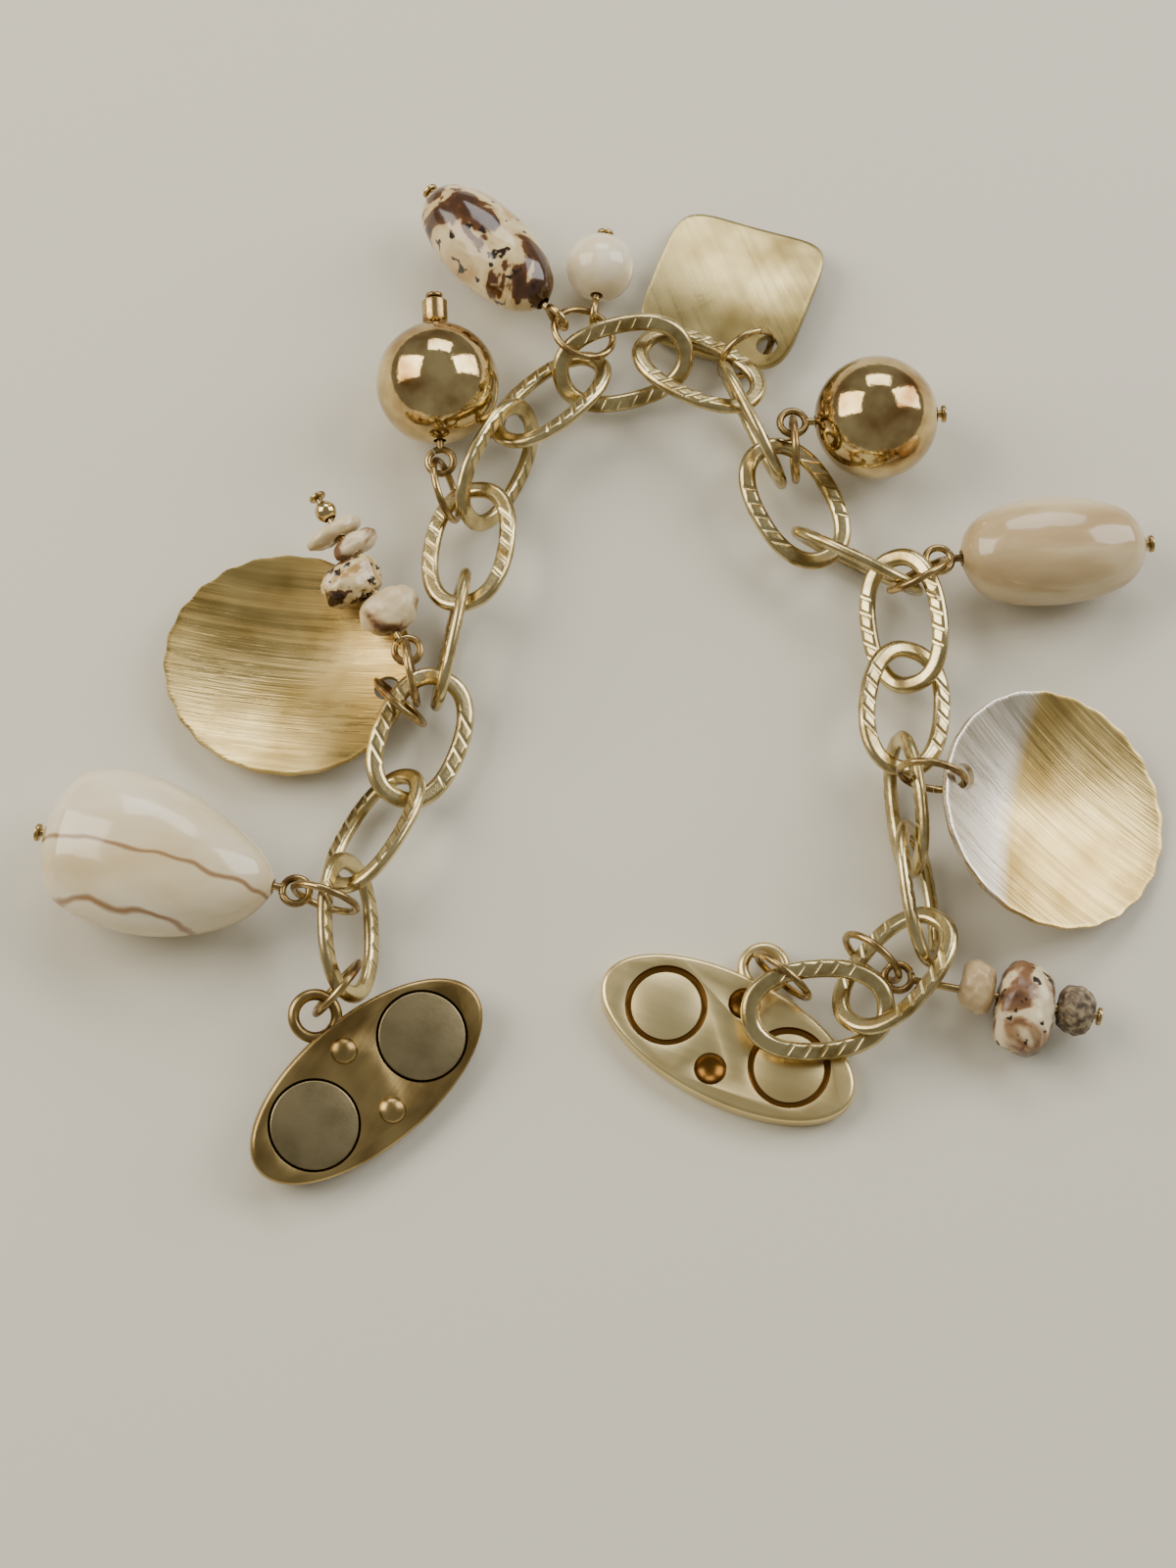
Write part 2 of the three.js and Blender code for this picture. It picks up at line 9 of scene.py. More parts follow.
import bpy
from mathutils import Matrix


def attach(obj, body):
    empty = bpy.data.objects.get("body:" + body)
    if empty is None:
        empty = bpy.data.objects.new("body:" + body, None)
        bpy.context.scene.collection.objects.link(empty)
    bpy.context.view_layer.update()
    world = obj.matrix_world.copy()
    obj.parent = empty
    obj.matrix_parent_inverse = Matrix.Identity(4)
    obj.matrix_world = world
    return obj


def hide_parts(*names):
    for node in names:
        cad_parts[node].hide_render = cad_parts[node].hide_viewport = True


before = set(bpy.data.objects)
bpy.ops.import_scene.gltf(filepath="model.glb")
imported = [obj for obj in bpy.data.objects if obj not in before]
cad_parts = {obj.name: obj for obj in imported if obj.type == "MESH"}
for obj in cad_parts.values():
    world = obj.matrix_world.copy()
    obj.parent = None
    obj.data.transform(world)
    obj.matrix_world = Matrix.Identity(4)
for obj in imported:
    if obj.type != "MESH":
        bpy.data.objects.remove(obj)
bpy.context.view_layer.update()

import math

import bmesh
import bpy
import numpy as np
from mathutils import Matrix, Vector

mm = 0.001

# %% [markdown]
# A modelling step in Blender is an operator that works on what is selected. A few small helpers save
# typing. They start from a clean selection, enter and leave edit mode, select vertices, edges or faces
# by a test on their place, apply a modifier, cut one shape with another, and join, copy and smooth.


# %% Selection helpers
def nothing_selected():
    for thing in bpy.context.selected_objects:
        thing.select_set(False)


def work_on(thing):
    nothing_selected()
    bpy.context.view_layer.objects.active = thing
    thing.select_set(True)


def named(name):
    """Names the shape that was made last, and gives it back."""
    made = bpy.context.object
    made.name = made.data.name = name
    return made


def edit():
    bpy.ops.object.mode_set(mode="EDIT")


def leave_edit():
    bpy.ops.object.mode_set(mode="OBJECT")


def choose(kind, test):
    """Selects only those verts, edges or faces that pass the test."""
    mode = {"verts": "VERT", "edges": "EDGE", "faces": "FACE"}[kind]
    bpy.ops.mesh.select_mode(type=mode)
    bpy.ops.mesh.select_all(action="DESELECT")
    mesh = bpy.context.object.data
    shape = bmesh.from_edit_mesh(mesh)
    for element in getattr(shape, kind):
        if test(element):
            element.select_set(True)
    shape.select_flush_mode()
    bmesh.update_edit_mesh(mesh)


def choose_numbers(numbers):
    wanted = set(numbers)
    choose("verts", lambda v: v.index in wanted)


print(len(bpy.context.selected_objects), "CAD nodes are selected when the lesson starts")
nothing_selected()
print(len(bpy.context.selected_objects), "are selected after a clean start")


# %% Modifier, joining and copying helpers
def apply_modifier(thing, kind, **settings):
    work_on(thing)
    modifier = thing.modifiers.new(kind.title(), kind)
    for name, value in settings.items():
        setattr(modifier, name, value)
    bpy.ops.object.modifier_apply(modifier=modifier.name)


def cut_with(thing, tool, operation="DIFFERENCE"):
    apply_modifier(thing, "BOOLEAN", object=tool, operation=operation, solver="EXACT")
    bpy.data.objects.remove(tool)


def join_as(name, *things):
    nothing_selected()
    for thing in things:
        thing.select_set(True)
    bpy.context.view_layer.objects.active = things[0]
    bpy.ops.object.join()
    return named(name)


def copy_of(thing, name):
    twin = thing.copy()
    twin.data = thing.data.copy()
    twin.name = twin.data.name = name
    bpy.context.scene.collection.objects.link(twin)
    return twin


def smooth(thing, degrees):
    """Shades a shape softly, except at edges that turn by more than this many degrees."""
    work_on(thing)
    bpy.ops.object.shade_smooth_by_angle(angle=math.radians(degrees))


# %% [markdown]
# The CAD node tells where a piece lies. A loop of wire is widest along its length and thinnest across,
# so the principal axes of its corners are its own X, Y and Z. The finished shape is made flat at the
# origin and is then moved there, in its mesh, so that the object itself stays at the origin.


# %% Find a loop's own axes from its CAD node
def corners(cad_node):
    points = np.array([tuple(v.co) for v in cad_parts[cad_node].data.vertices])
    return np.unique(np.round(points, 8), axis=0)


def axes_from(along, normal):
    x = along.normalized()
    z = (normal - x * normal.dot(x)).normalized()
    return Matrix((x, z.cross(x), z)).transposed()


def loop_place(cad_node):
    """The middle of a loop of wire, with X along it, and Z square to it and upwards."""
    points = corners(cad_node)
    middle = Vector(points.mean(0))
    axes = np.linalg.eigh(np.cov((points - points.mean(0)).T))[1]
    along, normal = Vector(axes[:, 2]), Vector(axes[:, 0])
    turned = axes_from(along if along.y >= 0 else -along, normal if normal.z >= 0 else -normal)
    return Matrix.Translation(middle) @ turned.to_4x4()


def settle(thing, place, cad_node, material):
    """Gives a finished shape its material and its place, and ties it to the frame."""
    thing.data.materials.append(material)
    thing.data.transform(place)
    thing.matrix_world = Matrix.Identity(4)
    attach(thing, "root")
    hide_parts(cad_node)


first_at = loop_place("chain_link_01").translation
print("the first link lies at", [round(c / mm, 1) for c in first_at], "mm")

# %% [markdown]
# Materials come next, because each piece takes one as it is made. A few helpers are enough: one turns
# a colour as written for the web into the linear light that Blender works in, one starts an empty
# material, one adds a node with its settings and its links, one gives the surface point in
# millimetres, and one puts the surface together. The metal here is mostly plated brass: gold-coloured
# where it is rubbed, browner where tarnish stays in the low places.


# %% Colour and node helpers
def colour(text):
    """A colour such as #D6C594 as red, green and blue in linear light, and an alpha of 1."""
    shares = [int(text[k : k + 2], 16) / 255 for k in (1, 3, 5)]
    return [s / 12.92 if s <= 0.04045 else ((s + 0.055) / 1.055) ** 2.4 for s in shares] + [1]


def new_material(name):
    material = bpy.data.materials.new(name)
    material.use_nodes = True
    material.node_tree.nodes.clear()
    return material


def node(material, kind, inputs=None, out=0, stops=(), **settings):
    """Adds a node, sets or links its inputs, and gives back the output that is wanted."""
    made = material.node_tree.nodes.new("ShaderNode" + kind)
    for name, value in settings.items():
        setattr(made, name, value)
    for key, value in (inputs or {}).items():
        if isinstance(value, bpy.types.NodeSocket):
            material.node_tree.links.new(value, made.inputs[key])
        else:
            made.inputs[key].default_value = value
    if stops:
        band = made.color_ramp.elements
        while len(band) < len(stops):
            band.new(0.5)
        for element, (position, value) in zip(band, stops):
            element.position = position
            element.color = colour(value) if isinstance(value, str) else (value, value, value, 1)
    return made.outputs[out] if made.outputs else None


# A Mix node has a set of sockets for each kind of value. These are the numbers of those for colours.
mix_share, mix_from, mix_to, mixed = 0, 6, 7, 2


def in_millimetres(material, place=None, stretch=(1, 1, 1)):
    """The surface point in millimetres, in a piece's own axes where a place is given."""
    place = place or Matrix.Identity(4)
    settings = {
        "Vector": node(material, "TexCoord", out="Object"),
        "Location": place.translation,
        "Rotation": place.to_euler(),
        "Scale": (mm,) * 3,
    }
    own = node(material, "Mapping", settings, vector_type="TEXTURE")
    return node(material, "Mapping", {"Vector": own, "Scale": stretch})


def finish_with(material, inputs):
    """Puts the surface together. Every material in this lesson is one Principled BSDF."""
    surface = node(material, "BsdfPrincipled", inputs)
    node(material, "OutputMaterial", {"Surface": surface})
    return material


print("mid grey #808080 is", round(colour("#808080")[0], 3), "of white in linear light")

# %% Plated brass, polished and worn
# Real scratches are hair-fine. They are drawn a third of a millimetre wide, so that they show.
scratch_size = 0.35
scratch_deep = 0.012 * mm


def plated_metal(name, bright, dull, smoothest, roughest, tarnish_size):
    """Rubbed plating: golden and shiny where it is touched, browner and duller where it isn't."""
    material = new_material(name)
    where = in_millimetres(material)
    tarnish = node(material, "TexNoise", {"Vector": where, "Scale": 1 / tarnish_size, "Detail": 3})
    scratches = node(material, "TexNoise", {"Vector": where, "Scale": 1 / scratch_size, "Detail": 2})
    shine = [(0.35, smoothest), (0.75, roughest)]
    inputs = {
        "Metallic": 1.0,
        "Base Color": node(material, "ValToRGB", {"Fac": tarnish}, stops=[(0.38, bright), (0.72, dull)]),
        "Roughness": node(material, "ValToRGB", {"Fac": tarnish}, stops=shine),
        "Normal": node(material, "Bump", {"Height": scratches, "Distance": scratch_deep}),
    }
    return finish_with(material, inputs)


# The chain is polished and then worn: pale champagne faces with sharp highlights, brown in between.
chain_brass = plated_metal(
    "polished plated brass chain", "#D6C594", "#86703F", smoothest=0.16, roughest=0.36, tarnish_size=3
)
# Drawn wire tarnishes faster than the chain, so rings and pins look browner.
wire_brass = plated_metal(
    "drawn brass wire", "#C0A670", "#5A4023", smoothest=0.16, roughest=0.4, tarnish_size=2
)
# The balls are buffed to a mirror: the eye sees the room in them more than their own colour.
mirror_brass = plated_metal(
    "mirror plated brass", "#E0CB94", "#8E6638", smoothest=0.05, roughest=0.12, tarnish_size=5
)
for material in (chain_brass, wire_brass, mirror_brass):
    print(material.name, "has", len(material.node_tree.nodes), "nodes")

# %% [markdown]
# A chain link is a wire of flat section, bent to an oval and soldered. A torus is the nearest
# primitive. Its wire is flattened first, and then each section is turned and moved from the circle to
# the oval, so the wire keeps its width all the way round. Diagonal cuts on the long sides, made on the
# real link with a diamond tool, are small rollers sunk into the faces and cut away.

# %% Sizes of the chain link
link_count = 18
link_long = 16.0 * mm
link_wide = 10.4 * mm
wire_wide = 1.9 * mm
wire_thick = 1.2 * mm
# An oval of power 2 is an ellipse, and a higher power fills its corners out.
link_power = 2.3
link_steps = 72
section_points = 24
# The section is flat where its circle has turned further up or down than this.
flat_from = math.radians(60)
print("a link is", round(link_long / link_wide, 2), "times as long as it is wide")


# %% Press a ring of wire flat
def flattened_ring(name, circle):
    """A ring of wire, pressed flat above and below."""
    nothing_selected()
    bpy.ops.mesh.primitive_torus_add(
        major_segments=link_steps,
        minor_segments=section_points,
        major_radius=circle,
        minor_radius=wire_wide / 2,
    )
    ring = named(name)
    edit()
    flat = wire_wide / 2 * math.sin(flat_from)
    for side in (1, -1):
        choose("verts", lambda v: v.co.z * side > flat * 0.99)
        bpy.ops.transform.resize(value=(1, 1, 0), center_override=(0, 0, side * flat))
    bpy.ops.mesh.select_all(action="SELECT")
    bpy.ops.transform.resize(value=(1, 1, wire_thick / 2 / flat), center_override=(0, 0, 0))
    leave_edit()
    return ring


pattern_link = flattened_ring("pattern link", link_wide / 2)
print("flat ring", [round(side / mm, 2) for side in pattern_link.dimensions], "mm")


# %% Bend the link
def oval(angle, half_long, half_wide, power):
    bend = lambda value: math.copysign(abs(value) ** (2 / power), value)
    return Vector((half_long * bend(math.cos(angle)), half_wide * bend(math.sin(angle)), 0))


def bend_to_oval(ring, circle):
    """Turns each section of a ring, and moves it from the circle to the oval."""
    sections = [[] for _ in range(link_steps)]
    for v in ring.data.vertices:
        turn = math.atan2(v.co.y, v.co.x) / math.tau * link_steps
        sections[round(turn) % link_steps].append(v.index)
    half_long, half_wide = (link_long - wire_wide) / 2, (link_wide - wire_wide) / 2
    spot = lambda k: oval(math.tau * k / link_steps, half_long, half_wide, link_power)
    edit()
    for k, members in enumerate(sections):
        angle = math.tau * k / link_steps
        along = spot(k + 0.5) - spot(k - 0.5)
        outward = math.atan2(-along.x, along.y)
        on_circle = Vector((math.cos(angle), math.sin(angle), 0)) * circle
        choose_numbers(members)
        bpy.ops.transform.rotate(value=angle - outward, orient_axis="Z", center_override=on_circle)
        bpy.ops.transform.translate(value=spot(k) - on_circle)
    leave_edit()


bend_to_oval(pattern_link, link_wide / 2)
print("link", [round(side / mm, 2) for side in pattern_link.dimensions], "mm")

# %% Cut the diagonal grooves
cuts_each_side = 5
cut_spacing = 1.75 * mm
cut_deep = 0.13 * mm
cut_slant = math.radians(-38)
roller_radius = 0.55 * mm


def roller(x, y, z):
    """A small cylinder, laid slantwise across the wire. It is half as long again as the wire is wide."""
    nothing_selected()
    bpy.ops.mesh.primitive_cylinder_add(
        vertices=16,
        radius=roller_radius,
        depth=wire_wide * 1.5,
        location=(x, y, z),
        rotation=(math.pi / 2, 0, cut_slant),
    )
    return bpy.context.object


rollers = []
for side in (1, -1):
    for face in (1, -1):
        for k in range(cuts_each_side):
            x = (k - (cuts_each_side - 1) / 2) * cut_spacing
            turn = math.acos(abs(x) / (link_long / 2))
            y = side * oval(turn, 0, (link_wide - wire_wide) / 2, link_power).y
            z = face * (wire_thick / 2 + roller_radius - cut_deep)
            rollers.append(roller(x, y, z))
cut_with(pattern_link, join_as("diamond cuts", *rollers))
smooth(pattern_link, degrees=32)
print("link with", len(rollers), "cuts has", len(pattern_link.data.polygons), "faces")

# %% Hang a copy of the link at each place along the chain
for number in range(1, link_count + 1):
    cad_node = f"chain_link_{number:02d}"
    link = copy_of(pattern_link, f"link_{number:02d}")
    settle(link, loop_place(cad_node), cad_node, chain_brass)
bpy.data.objects.remove(pattern_link)
print(link_count, "links hung")

# %% [markdown]
# A jump ring is round wire, coiled and sawn, so it is closed by butting its two ends together. It is a
# torus with one narrow slice taken out and both cut ends filled. The same ring is copied twelve times.

# %% Make the ring and hang the copies
ring_wide = 7.6 * mm
round_wire = 0.8 * mm
saw_gap = 0.1 * mm
saw_gap_at = math.radians(100)


def opened_torus(name, wide, wire, segments, gap, gap_at):
    """A wire ring with one segment cut out, narrowed to a gap at an angle, and both ends filled."""
    nothing_selected()
    bpy.ops.mesh.primitive_torus_add(
        major_segments=segments, minor_segments=12, major_radius=(wide - wire) / 2, minor_radius=wire / 2
    )
    ring = named(name)
    edit()
    segment = math.tau / segments
    bpy.ops.mesh.select_all(action="SELECT")
    bpy.ops.transform.rotate(value=segment / 2, orient_axis="Z", center_override=(0, 0, 0))
    in_segment = lambda f: f.calc_center_median().x > 0 and abs(f.calc_center_median().y) < wire / 6
    choose("faces", in_segment)
    bpy.ops.mesh.delete(type="FACE")
    for side in (1, -1):
        choose("edges", lambda e: e.is_boundary and e.verts[0].co.y * side > 0)
        bpy.ops.mesh.edge_face_add()
        half_segment = (wide - wire) / 2 * math.tan(segment / 2)
        bpy.ops.transform.translate(value=(0, -side * (half_segment - gap / 2), 0))
    bpy.ops.mesh.select_all(action="SELECT")
    bpy.ops.transform.rotate(value=-gap_at, orient_axis="Z", center_override=(0, 0, 0))
    leave_edit()
    smooth(ring, degrees=40)
    return ring


ring_owners = "nugget left cluster first_ball shared square second_ball olive right beige"
ring_owners = (ring_owners + " magnet_half recess_half").split()
pattern_ring = opened_torus("pattern ring", ring_wide, round_wire, 60, saw_gap, saw_gap_at)
for owner in ring_owners:
    ring = copy_of(pattern_ring, f"{owner}_jump_ring")
    settle(ring, loop_place(f"{owner}_ring"), f"{owner}_ring", wire_brass)
bpy.data.objects.remove(pattern_ring)
print(len(ring_owners), "jump rings hung")

# %% [markdown]
# A head pin is a straight wire with a flat head. The bead is threaded on, and the wire's end is turned
# into a loop with round-nosed pliers. Here the loop is an opened ring, and the shaft and the head are
# cylinders. The table holds each charm's heading and roll, the same as in the CAD, and the pin's own
# axes are made the way the CAD makes them: X along the heading, Y level and then tilted by the roll.

# %% Headings of the charms on pins
charms = {
    "nugget": {"heading": (-1, 0.24, -0.01), "roll": 0},
    "cluster": {"heading": (-0.5, 0.87, 0.05), "roll": 0},
    "first_ball": {"heading": (-0.05, 1, 0.1), "roll": 0},
    "jasper": {"heading": (-0.65, 0.76, -0.06), "roll": 90},
    "white": {"heading": (0.12, 1, -0.08), "roll": 90},
    "second_ball": {"heading": (1, 0.08, -0.03), "roll": 0},
    "olive": {"heading": (1, 0.1, -0.04), "roll": 0},
    "beige": {"heading": (1, -0.2, -0.01), "roll": 0},
}


def axes_from_heading(heading, roll):
    x = Vector(heading).normalized()
    left = Vector((0, 0, 1)).cross(x).normalized()
    level = x.cross(left)
    y = left * math.cos(math.radians(roll)) + level * math.sin(math.radians(roll))
    return axes_from(x, x.cross(y))


def box_in(axes, cad_node):
    """The lowest and highest corner of a CAD node's box, measured along these axes."""
    own = corners(cad_node) @ np.array(axes)
    return Vector(own.min(0)), Vector(own.max(0))


def pin_place(owner):
    """The middle of a pin's loop, with X along the pin, and how far the pin reaches from it."""
    axes = axes_from_heading(**charms[owner])
    low, high = box_in(axes, f"{owner}_pin")
    middle = Vector((low.x + (high.y - low.y) / 2, (low.y + high.y) / 2, (low.z + high.z) / 2))
    place = Matrix.Translation(axes @ middle) @ axes.to_4x4()
    return place, high.x - middle.x


places, reaches = {}, {}
for owner in charms:
    places[owner], reaches[owner] = pin_place(owner)
    print(owner, "pin reaches", round(reaches[owner] / mm, 1), "mm from its loop")

# %% Turn the pins
loop_wide = 3.6 * mm
loop_gap = 0.15 * mm
loop_gap_at = math.radians(32)
head_wide = 1.9 * mm
head_thick = 0.5 * mm
head_edge = head_thick * 0.35


def rod(name, wide, x_from, x_to, sides):
    nothing_selected()
    bpy.ops.mesh.primitive_cylinder_add(
        vertices=sides,
        radius=wide / 2,
        depth=x_to - x_from,
        location=((x_from + x_to) / 2, 0, 0),
        rotation=(0, math.pi / 2, 0),
    )
    bpy.ops.object.transform_apply(location=True, rotation=True, scale=True)
    return named(name)


for owner, reach in reaches.items():
    eye = opened_torus("eye", loop_wide, round_wire, 40, loop_gap, loop_gap_at)
    shaft = rod("shaft", round_wire, (loop_wide - round_wire) / 2, reach - head_thick / 2, sides=14)
    head = rod("head", head_wide, reach - head_thick, reach, sides=24)
    apply_modifier(head, "BEVEL", width=head_edge, segments=3, limit_method="ANGLE")
    pin = join_as(f"{owner}_head_pin", eye, shaft, head)
    smooth(pin, degrees=40)
    settle(pin, places[owner], f"{owner}_pin", wire_brass)
print(len(reaches), "head pins turned")

# %% [markdown]
# Every bead is drilled and threaded. One helper makes them all: it starts from a small circle at the
# drilling, extrudes it outwards and along the bead ring by ring, each ring scaled to the bead's width
# there, and bridges the last ring back to the first through the drilling. So the hole is real.


# %% The drilled bead
drill_wide = 1.4 * mm


def drilled_bead(name, rings, sides):
    """Rings are (along, sideways, upwards, half width, half height), from one mouth to the other."""
    nothing_selected()
    first = rings[0]
    bpy.ops.mesh.primitive_circle_add(
        vertices=sides, radius=1, location=first[:3], rotation=(0, math.pi / 2, 0)
    )
    bead = named(name)
    bpy.ops.object.transform_apply(location=True, rotation=True, scale=True)
    edit()
    bpy.ops.mesh.select_all(action="SELECT")
    bpy.ops.transform.resize(value=(1, first[3], first[4]), center_override=first[:3])
    for before, here in zip(rings, rings[1:]):
        bpy.ops.mesh.extrude_edges_move()
        step = [b - a for a, b in zip(before[:3], here[:3])]
        bpy.ops.transform.translate(value=step)
        scale = (1, here[3] / before[3], here[4] / before[4])
        bpy.ops.transform.resize(value=scale, center_override=here[:3])
    choose("edges", lambda e: e.is_boundary)
    bpy.ops.mesh.bridge_edge_loops()
    bpy.ops.mesh.select_all(action="SELECT")
    bpy.ops.mesh.normals_make_consistent(inside=False)
    leave_edit()
    return bead


def ball_rings(low, high, count):
    """Rings of a sphere between two x values, from mouth to mouth of its drilling."""
    radius = (high - low) / 2
    mouth = math.asin(drill_wide / 2 / radius)
    rings = []
    for k in range(count + 1):
        angle = mouth + (math.pi - 2 * mouth) * k / count
        out = radius * math.sin(angle)
        rings.append((low + radius - radius * math.cos(angle), 0, 0, out, out))
    return rings


print("beads are drilled", round(drill_wide / round_wire, 2), "times as wide as their wire")


# %% Dents, and the place of a bead on its pin
def dent(thing, size, depth):
    """Lets a cloudy texture push the surface in and out by depth in all."""
    texture = bpy.data.textures.new(f"{thing.name} dents", "CLOUDS")
    texture.noise_scale = size
    settings = {"texture": texture, "strength": depth, "mid_level": 0.5, "texture_coords": "LOCAL"}
    apply_modifier(thing, "DISPLACE", **settings)


def span_on_pin(cad_node, owner):
    """The corners of a CAD bead in its pin's own axes, and where the bead starts and ends along it."""
    own = np.array([tuple(places[owner].inverted() @ Vector(p)) for p in corners(cad_node)])
    return own, own[:, 0].min(), own[:, 0].max()


_, low, high = span_on_pin("white_bead", "white")
print("the white bead lies", round(low / mm, 1), "to", round(high / mm, 1), "mm from its pin's loop")

# %% [markdown]
# The gold balls are hollow brass, plated and polished like a mirror. Years of wear leave them faintly
# dented, which bends the reflections. So a ball is made nearly perfect and then pushed about by a few
# hundredths of a millimetre. The small spacer ball is too small to show dents.

# %% Gold balls
dent_size = 5 * mm
dent_deep = 0.06 * mm


def threaded_ball(name, cad_node, owner, steps, sides):
    _, low, high = span_on_pin(cad_node, owner)
    ball = drilled_bead(name, ball_rings(low, high, steps), sides)
    if high - low > dent_size:
        dent(ball, dent_size, dent_deep)
    smooth(ball, degrees=50)
    settle(ball, places[owner], cad_node, mirror_brass)
    print(name, "is", round((high - low) / mm, 1), "mm wide")


threaded_ball("first_ball_mirror_ball", "first_ball_bead", "first_ball", steps=44, sides=64)
threaded_ball("second_ball_mirror_ball", "second_ball_bead", "second_ball", steps=44, sides=64)
threaded_ball("spacer_ball", "cluster_ball", "cluster", steps=16, sides=28)

# %% End tube
tube_half = 1.4 * mm
tube_hole = drill_wide / 2
tube_edge = 0.18 * mm

_, tube_from, tube_to = span_on_pin("first_ball_tube", "first_ball")
tube_profile = [
    (tube_from, tube_hole),
    (tube_from, tube_half - tube_edge),
    (tube_from + tube_edge, tube_half),
    (tube_to - tube_edge, tube_half),
    (tube_to, tube_half - tube_edge),
    (tube_to, tube_hole),
]
tube = drilled_bead("end_tube", [(x, 0, 0, half, half) for x, half in tube_profile], sides=28)
smooth(tube, degrees=30)
settle(tube, places["first_ball"], "first_ball_tube", wire_brass)
print("the end tube starts", round(tube_from / mm, 1), "mm from the pin's loop")

# %% [markdown]
# Tumbled stones are smooth but never regular. Their rings are measured from the CAD bead: at each
# section its width, height and the place of its middle. The rings in between are interpolated, the
# mesh is subdivided once to round its ends, and a soft texture takes the last regularity away.


# %% Stone materials
vein_wobble = 1.3
vein_from = 0.965
vein_brown = "#9A7853"
speck_from, speck_full = 0.61, 0.65
speck_black = "#24150D"
pits_per_cloud = 6


def veins(material, own, spacing, first):
    """Thin wavy lines along the bead, spacing apart, of which the first is this far off its middle.

    At a scale of 1, the texture's waves are pi / 10 apart. Only their crests are taken, and only on the
    side of the bead where its own Y is positive."""
    settings = {
        "Vector": own,
        "Scale": math.pi / 10 / spacing,
        "Distortion": vein_wobble,
        "Detail": 2.0,
        "Detail Scale": 3.0,
        "Phase Offset": math.pi * (1 - 2 * first / spacing),
    }
    waves = node(material, "TexWave", settings, out="Fac", bands_direction="Y")
    lines = node(material, "MapRange", {"Value": waves, "From Min": vein_from, "From Max": 1})
    sideways = node(material, "SeparateXYZ", {"Vector": own}, out="Y")
    one_side = node(material, "MapRange", {"Value": sideways, "From Min": -1, "From Max": 0})
    return node(material, "Math", {0: lines, 1: one_side}, operation="MULTIPLY")


def stone(name, place, look):
    """Stone whose colours follow a noise, drawn out along the bead, with veins or specks over it.

    The look's size, specks and relief are in millimetres."""
    material = new_material(name)
    own = in_millimetres(material, place)
    drawn_out = in_millimetres(material, place, look["stretch"])
    settings = {
        "Vector": drawn_out,
        "Scale": 1 / look["size"],
        "Detail": look["detail"],
        "Distortion": look["distortion"],
    }
    cloud = node(material, "TexNoise", settings)
    base = node(material, "ValToRGB", {"Fac": cloud}, stops=look["colours"])
    if look["veins"]:
        share = veins(material, own, *look["veins"])
        over = {mix_share: share, mix_from: base, mix_to: colour(vein_brown)}
        base = node(material, "Mix", over, mixed, data_type="RGBA")
    if look["specks"]:
        grains = node(material, "TexNoise", {"Vector": own, "Scale": 1 / look["specks"], "Detail": 2})
        limits = {"Value": grains, "From Min": speck_from, "From Max": speck_full}
        share = node(material, "MapRange", limits)
        over = {mix_share: share, mix_from: base, mix_to: colour(speck_black)}
        base = node(material, "Mix", over, mixed, data_type="RGBA")
    fine = {"Vector": drawn_out, "Scale": pits_per_cloud / look["size"], "Detail": 3}
    pits = node(material, "TexNoise", fine)
    relief = node(material, "Bump", {"Height": pits, "Distance": look["relief"] * mm})
    return finish_with(material, {"Base Color": base, "Normal": relief, **look["finish"]})


# %% Looks of the stones
# Polished stone shows the windows in a clear skin. Tumbled stone only glows where the light falls, and
# rough stone doesn't shine at all.
polished = {"Roughness": 0.14, "Coat Weight": 0.4, "Coat Roughness": 0.05}
tumbled = {"Roughness": 0.3, "Coat Weight": 0.15, "Coat Roughness": 0.15}
rough = {"Roughness": 0.65}
plain_look = {
    "stretch": (1, 1, 1),
    "detail": 4.0,
    "distortion": 0.5,
    "veins": None,
    "specks": None,
    "relief": 0.01,
}
# Creamy quartz with a few brown iron veins: milky and calm, with the veins just under the polish.
veined_cream = {
    **plain_look,
    "colours": [(0.34, "#D0B887"), (0.5, "#E2D2AC"), (0.66, "#EADFC4")],
    "size": 9,
    "stretch": (0.4, 1, 1),
    "veins": (5.6, 1.2),
    "finish": polished,
}
# Picture jasper: brown islands with sharp shores on cream and tan, peppered with black.
picture_jasper = {
    **plain_look,
    "colours": [
        (0.3, "#2C190C"),
        (0.42, "#472A15"),
        (0.462, "#5E3C20"),
        (0.475, "#C9AE7B"),
        (0.55, "#E0CD9F"),
        (0.66, "#B9955C"),
    ],
    "size": 7,
    "specks": 1.7,
    "finish": polished,
}
# White stone, polished: nearly even, and warm rather than grey.
warm_white = {**plain_look, "colours": [(0.3, "#E2D0A6"), (0.6, "#F2E6CA")], "size": 5, "finish": polished}
# Banded beige stone: soft bands that run along the bead, under a high polish.
ridged_beige = {
    **plain_look,
    "colours": [(0.3, "#A78C62"), (0.5, "#BDA47A"), (0.62, "#CFBB92")],
    "size": 6,
    "stretch": (0.25, 1, 1),
    "finish": polished,
}
# Tumbled chips of jasper: brown and cream in clear patches, with a soft glow. Some chips are browner.
brown_and_cream = {
    **plain_look,
    "colours": [(0.3, "#2E190D"), (0.4, "#5E3A22"), (0.46, "#B4966A"), (0.55, "#DCCAA2"), (0.7, "#CDB68A")],
    "size": 4,
    "finish": tumbled,
}
browner = [(0.35, "#4A2E1C"), (0.53, "#7E5A3C"), (0.56, "#A98B66"), (0.6, "#DDCCA6")]
# Unpolished stone: grey-brown grains that stand out a little, with no shine.
rough_grey = {
    **plain_look,
    "colours": [(0.3, "#2F261C"), (0.48, "#6E5E49"), (0.62, "#A08F73")],
    "size": 0.8,
    "relief": 0.15,
    "finish": rough,
}
print("the jasper's islands are laid out on a noise of", picture_jasper["size"], "mm")

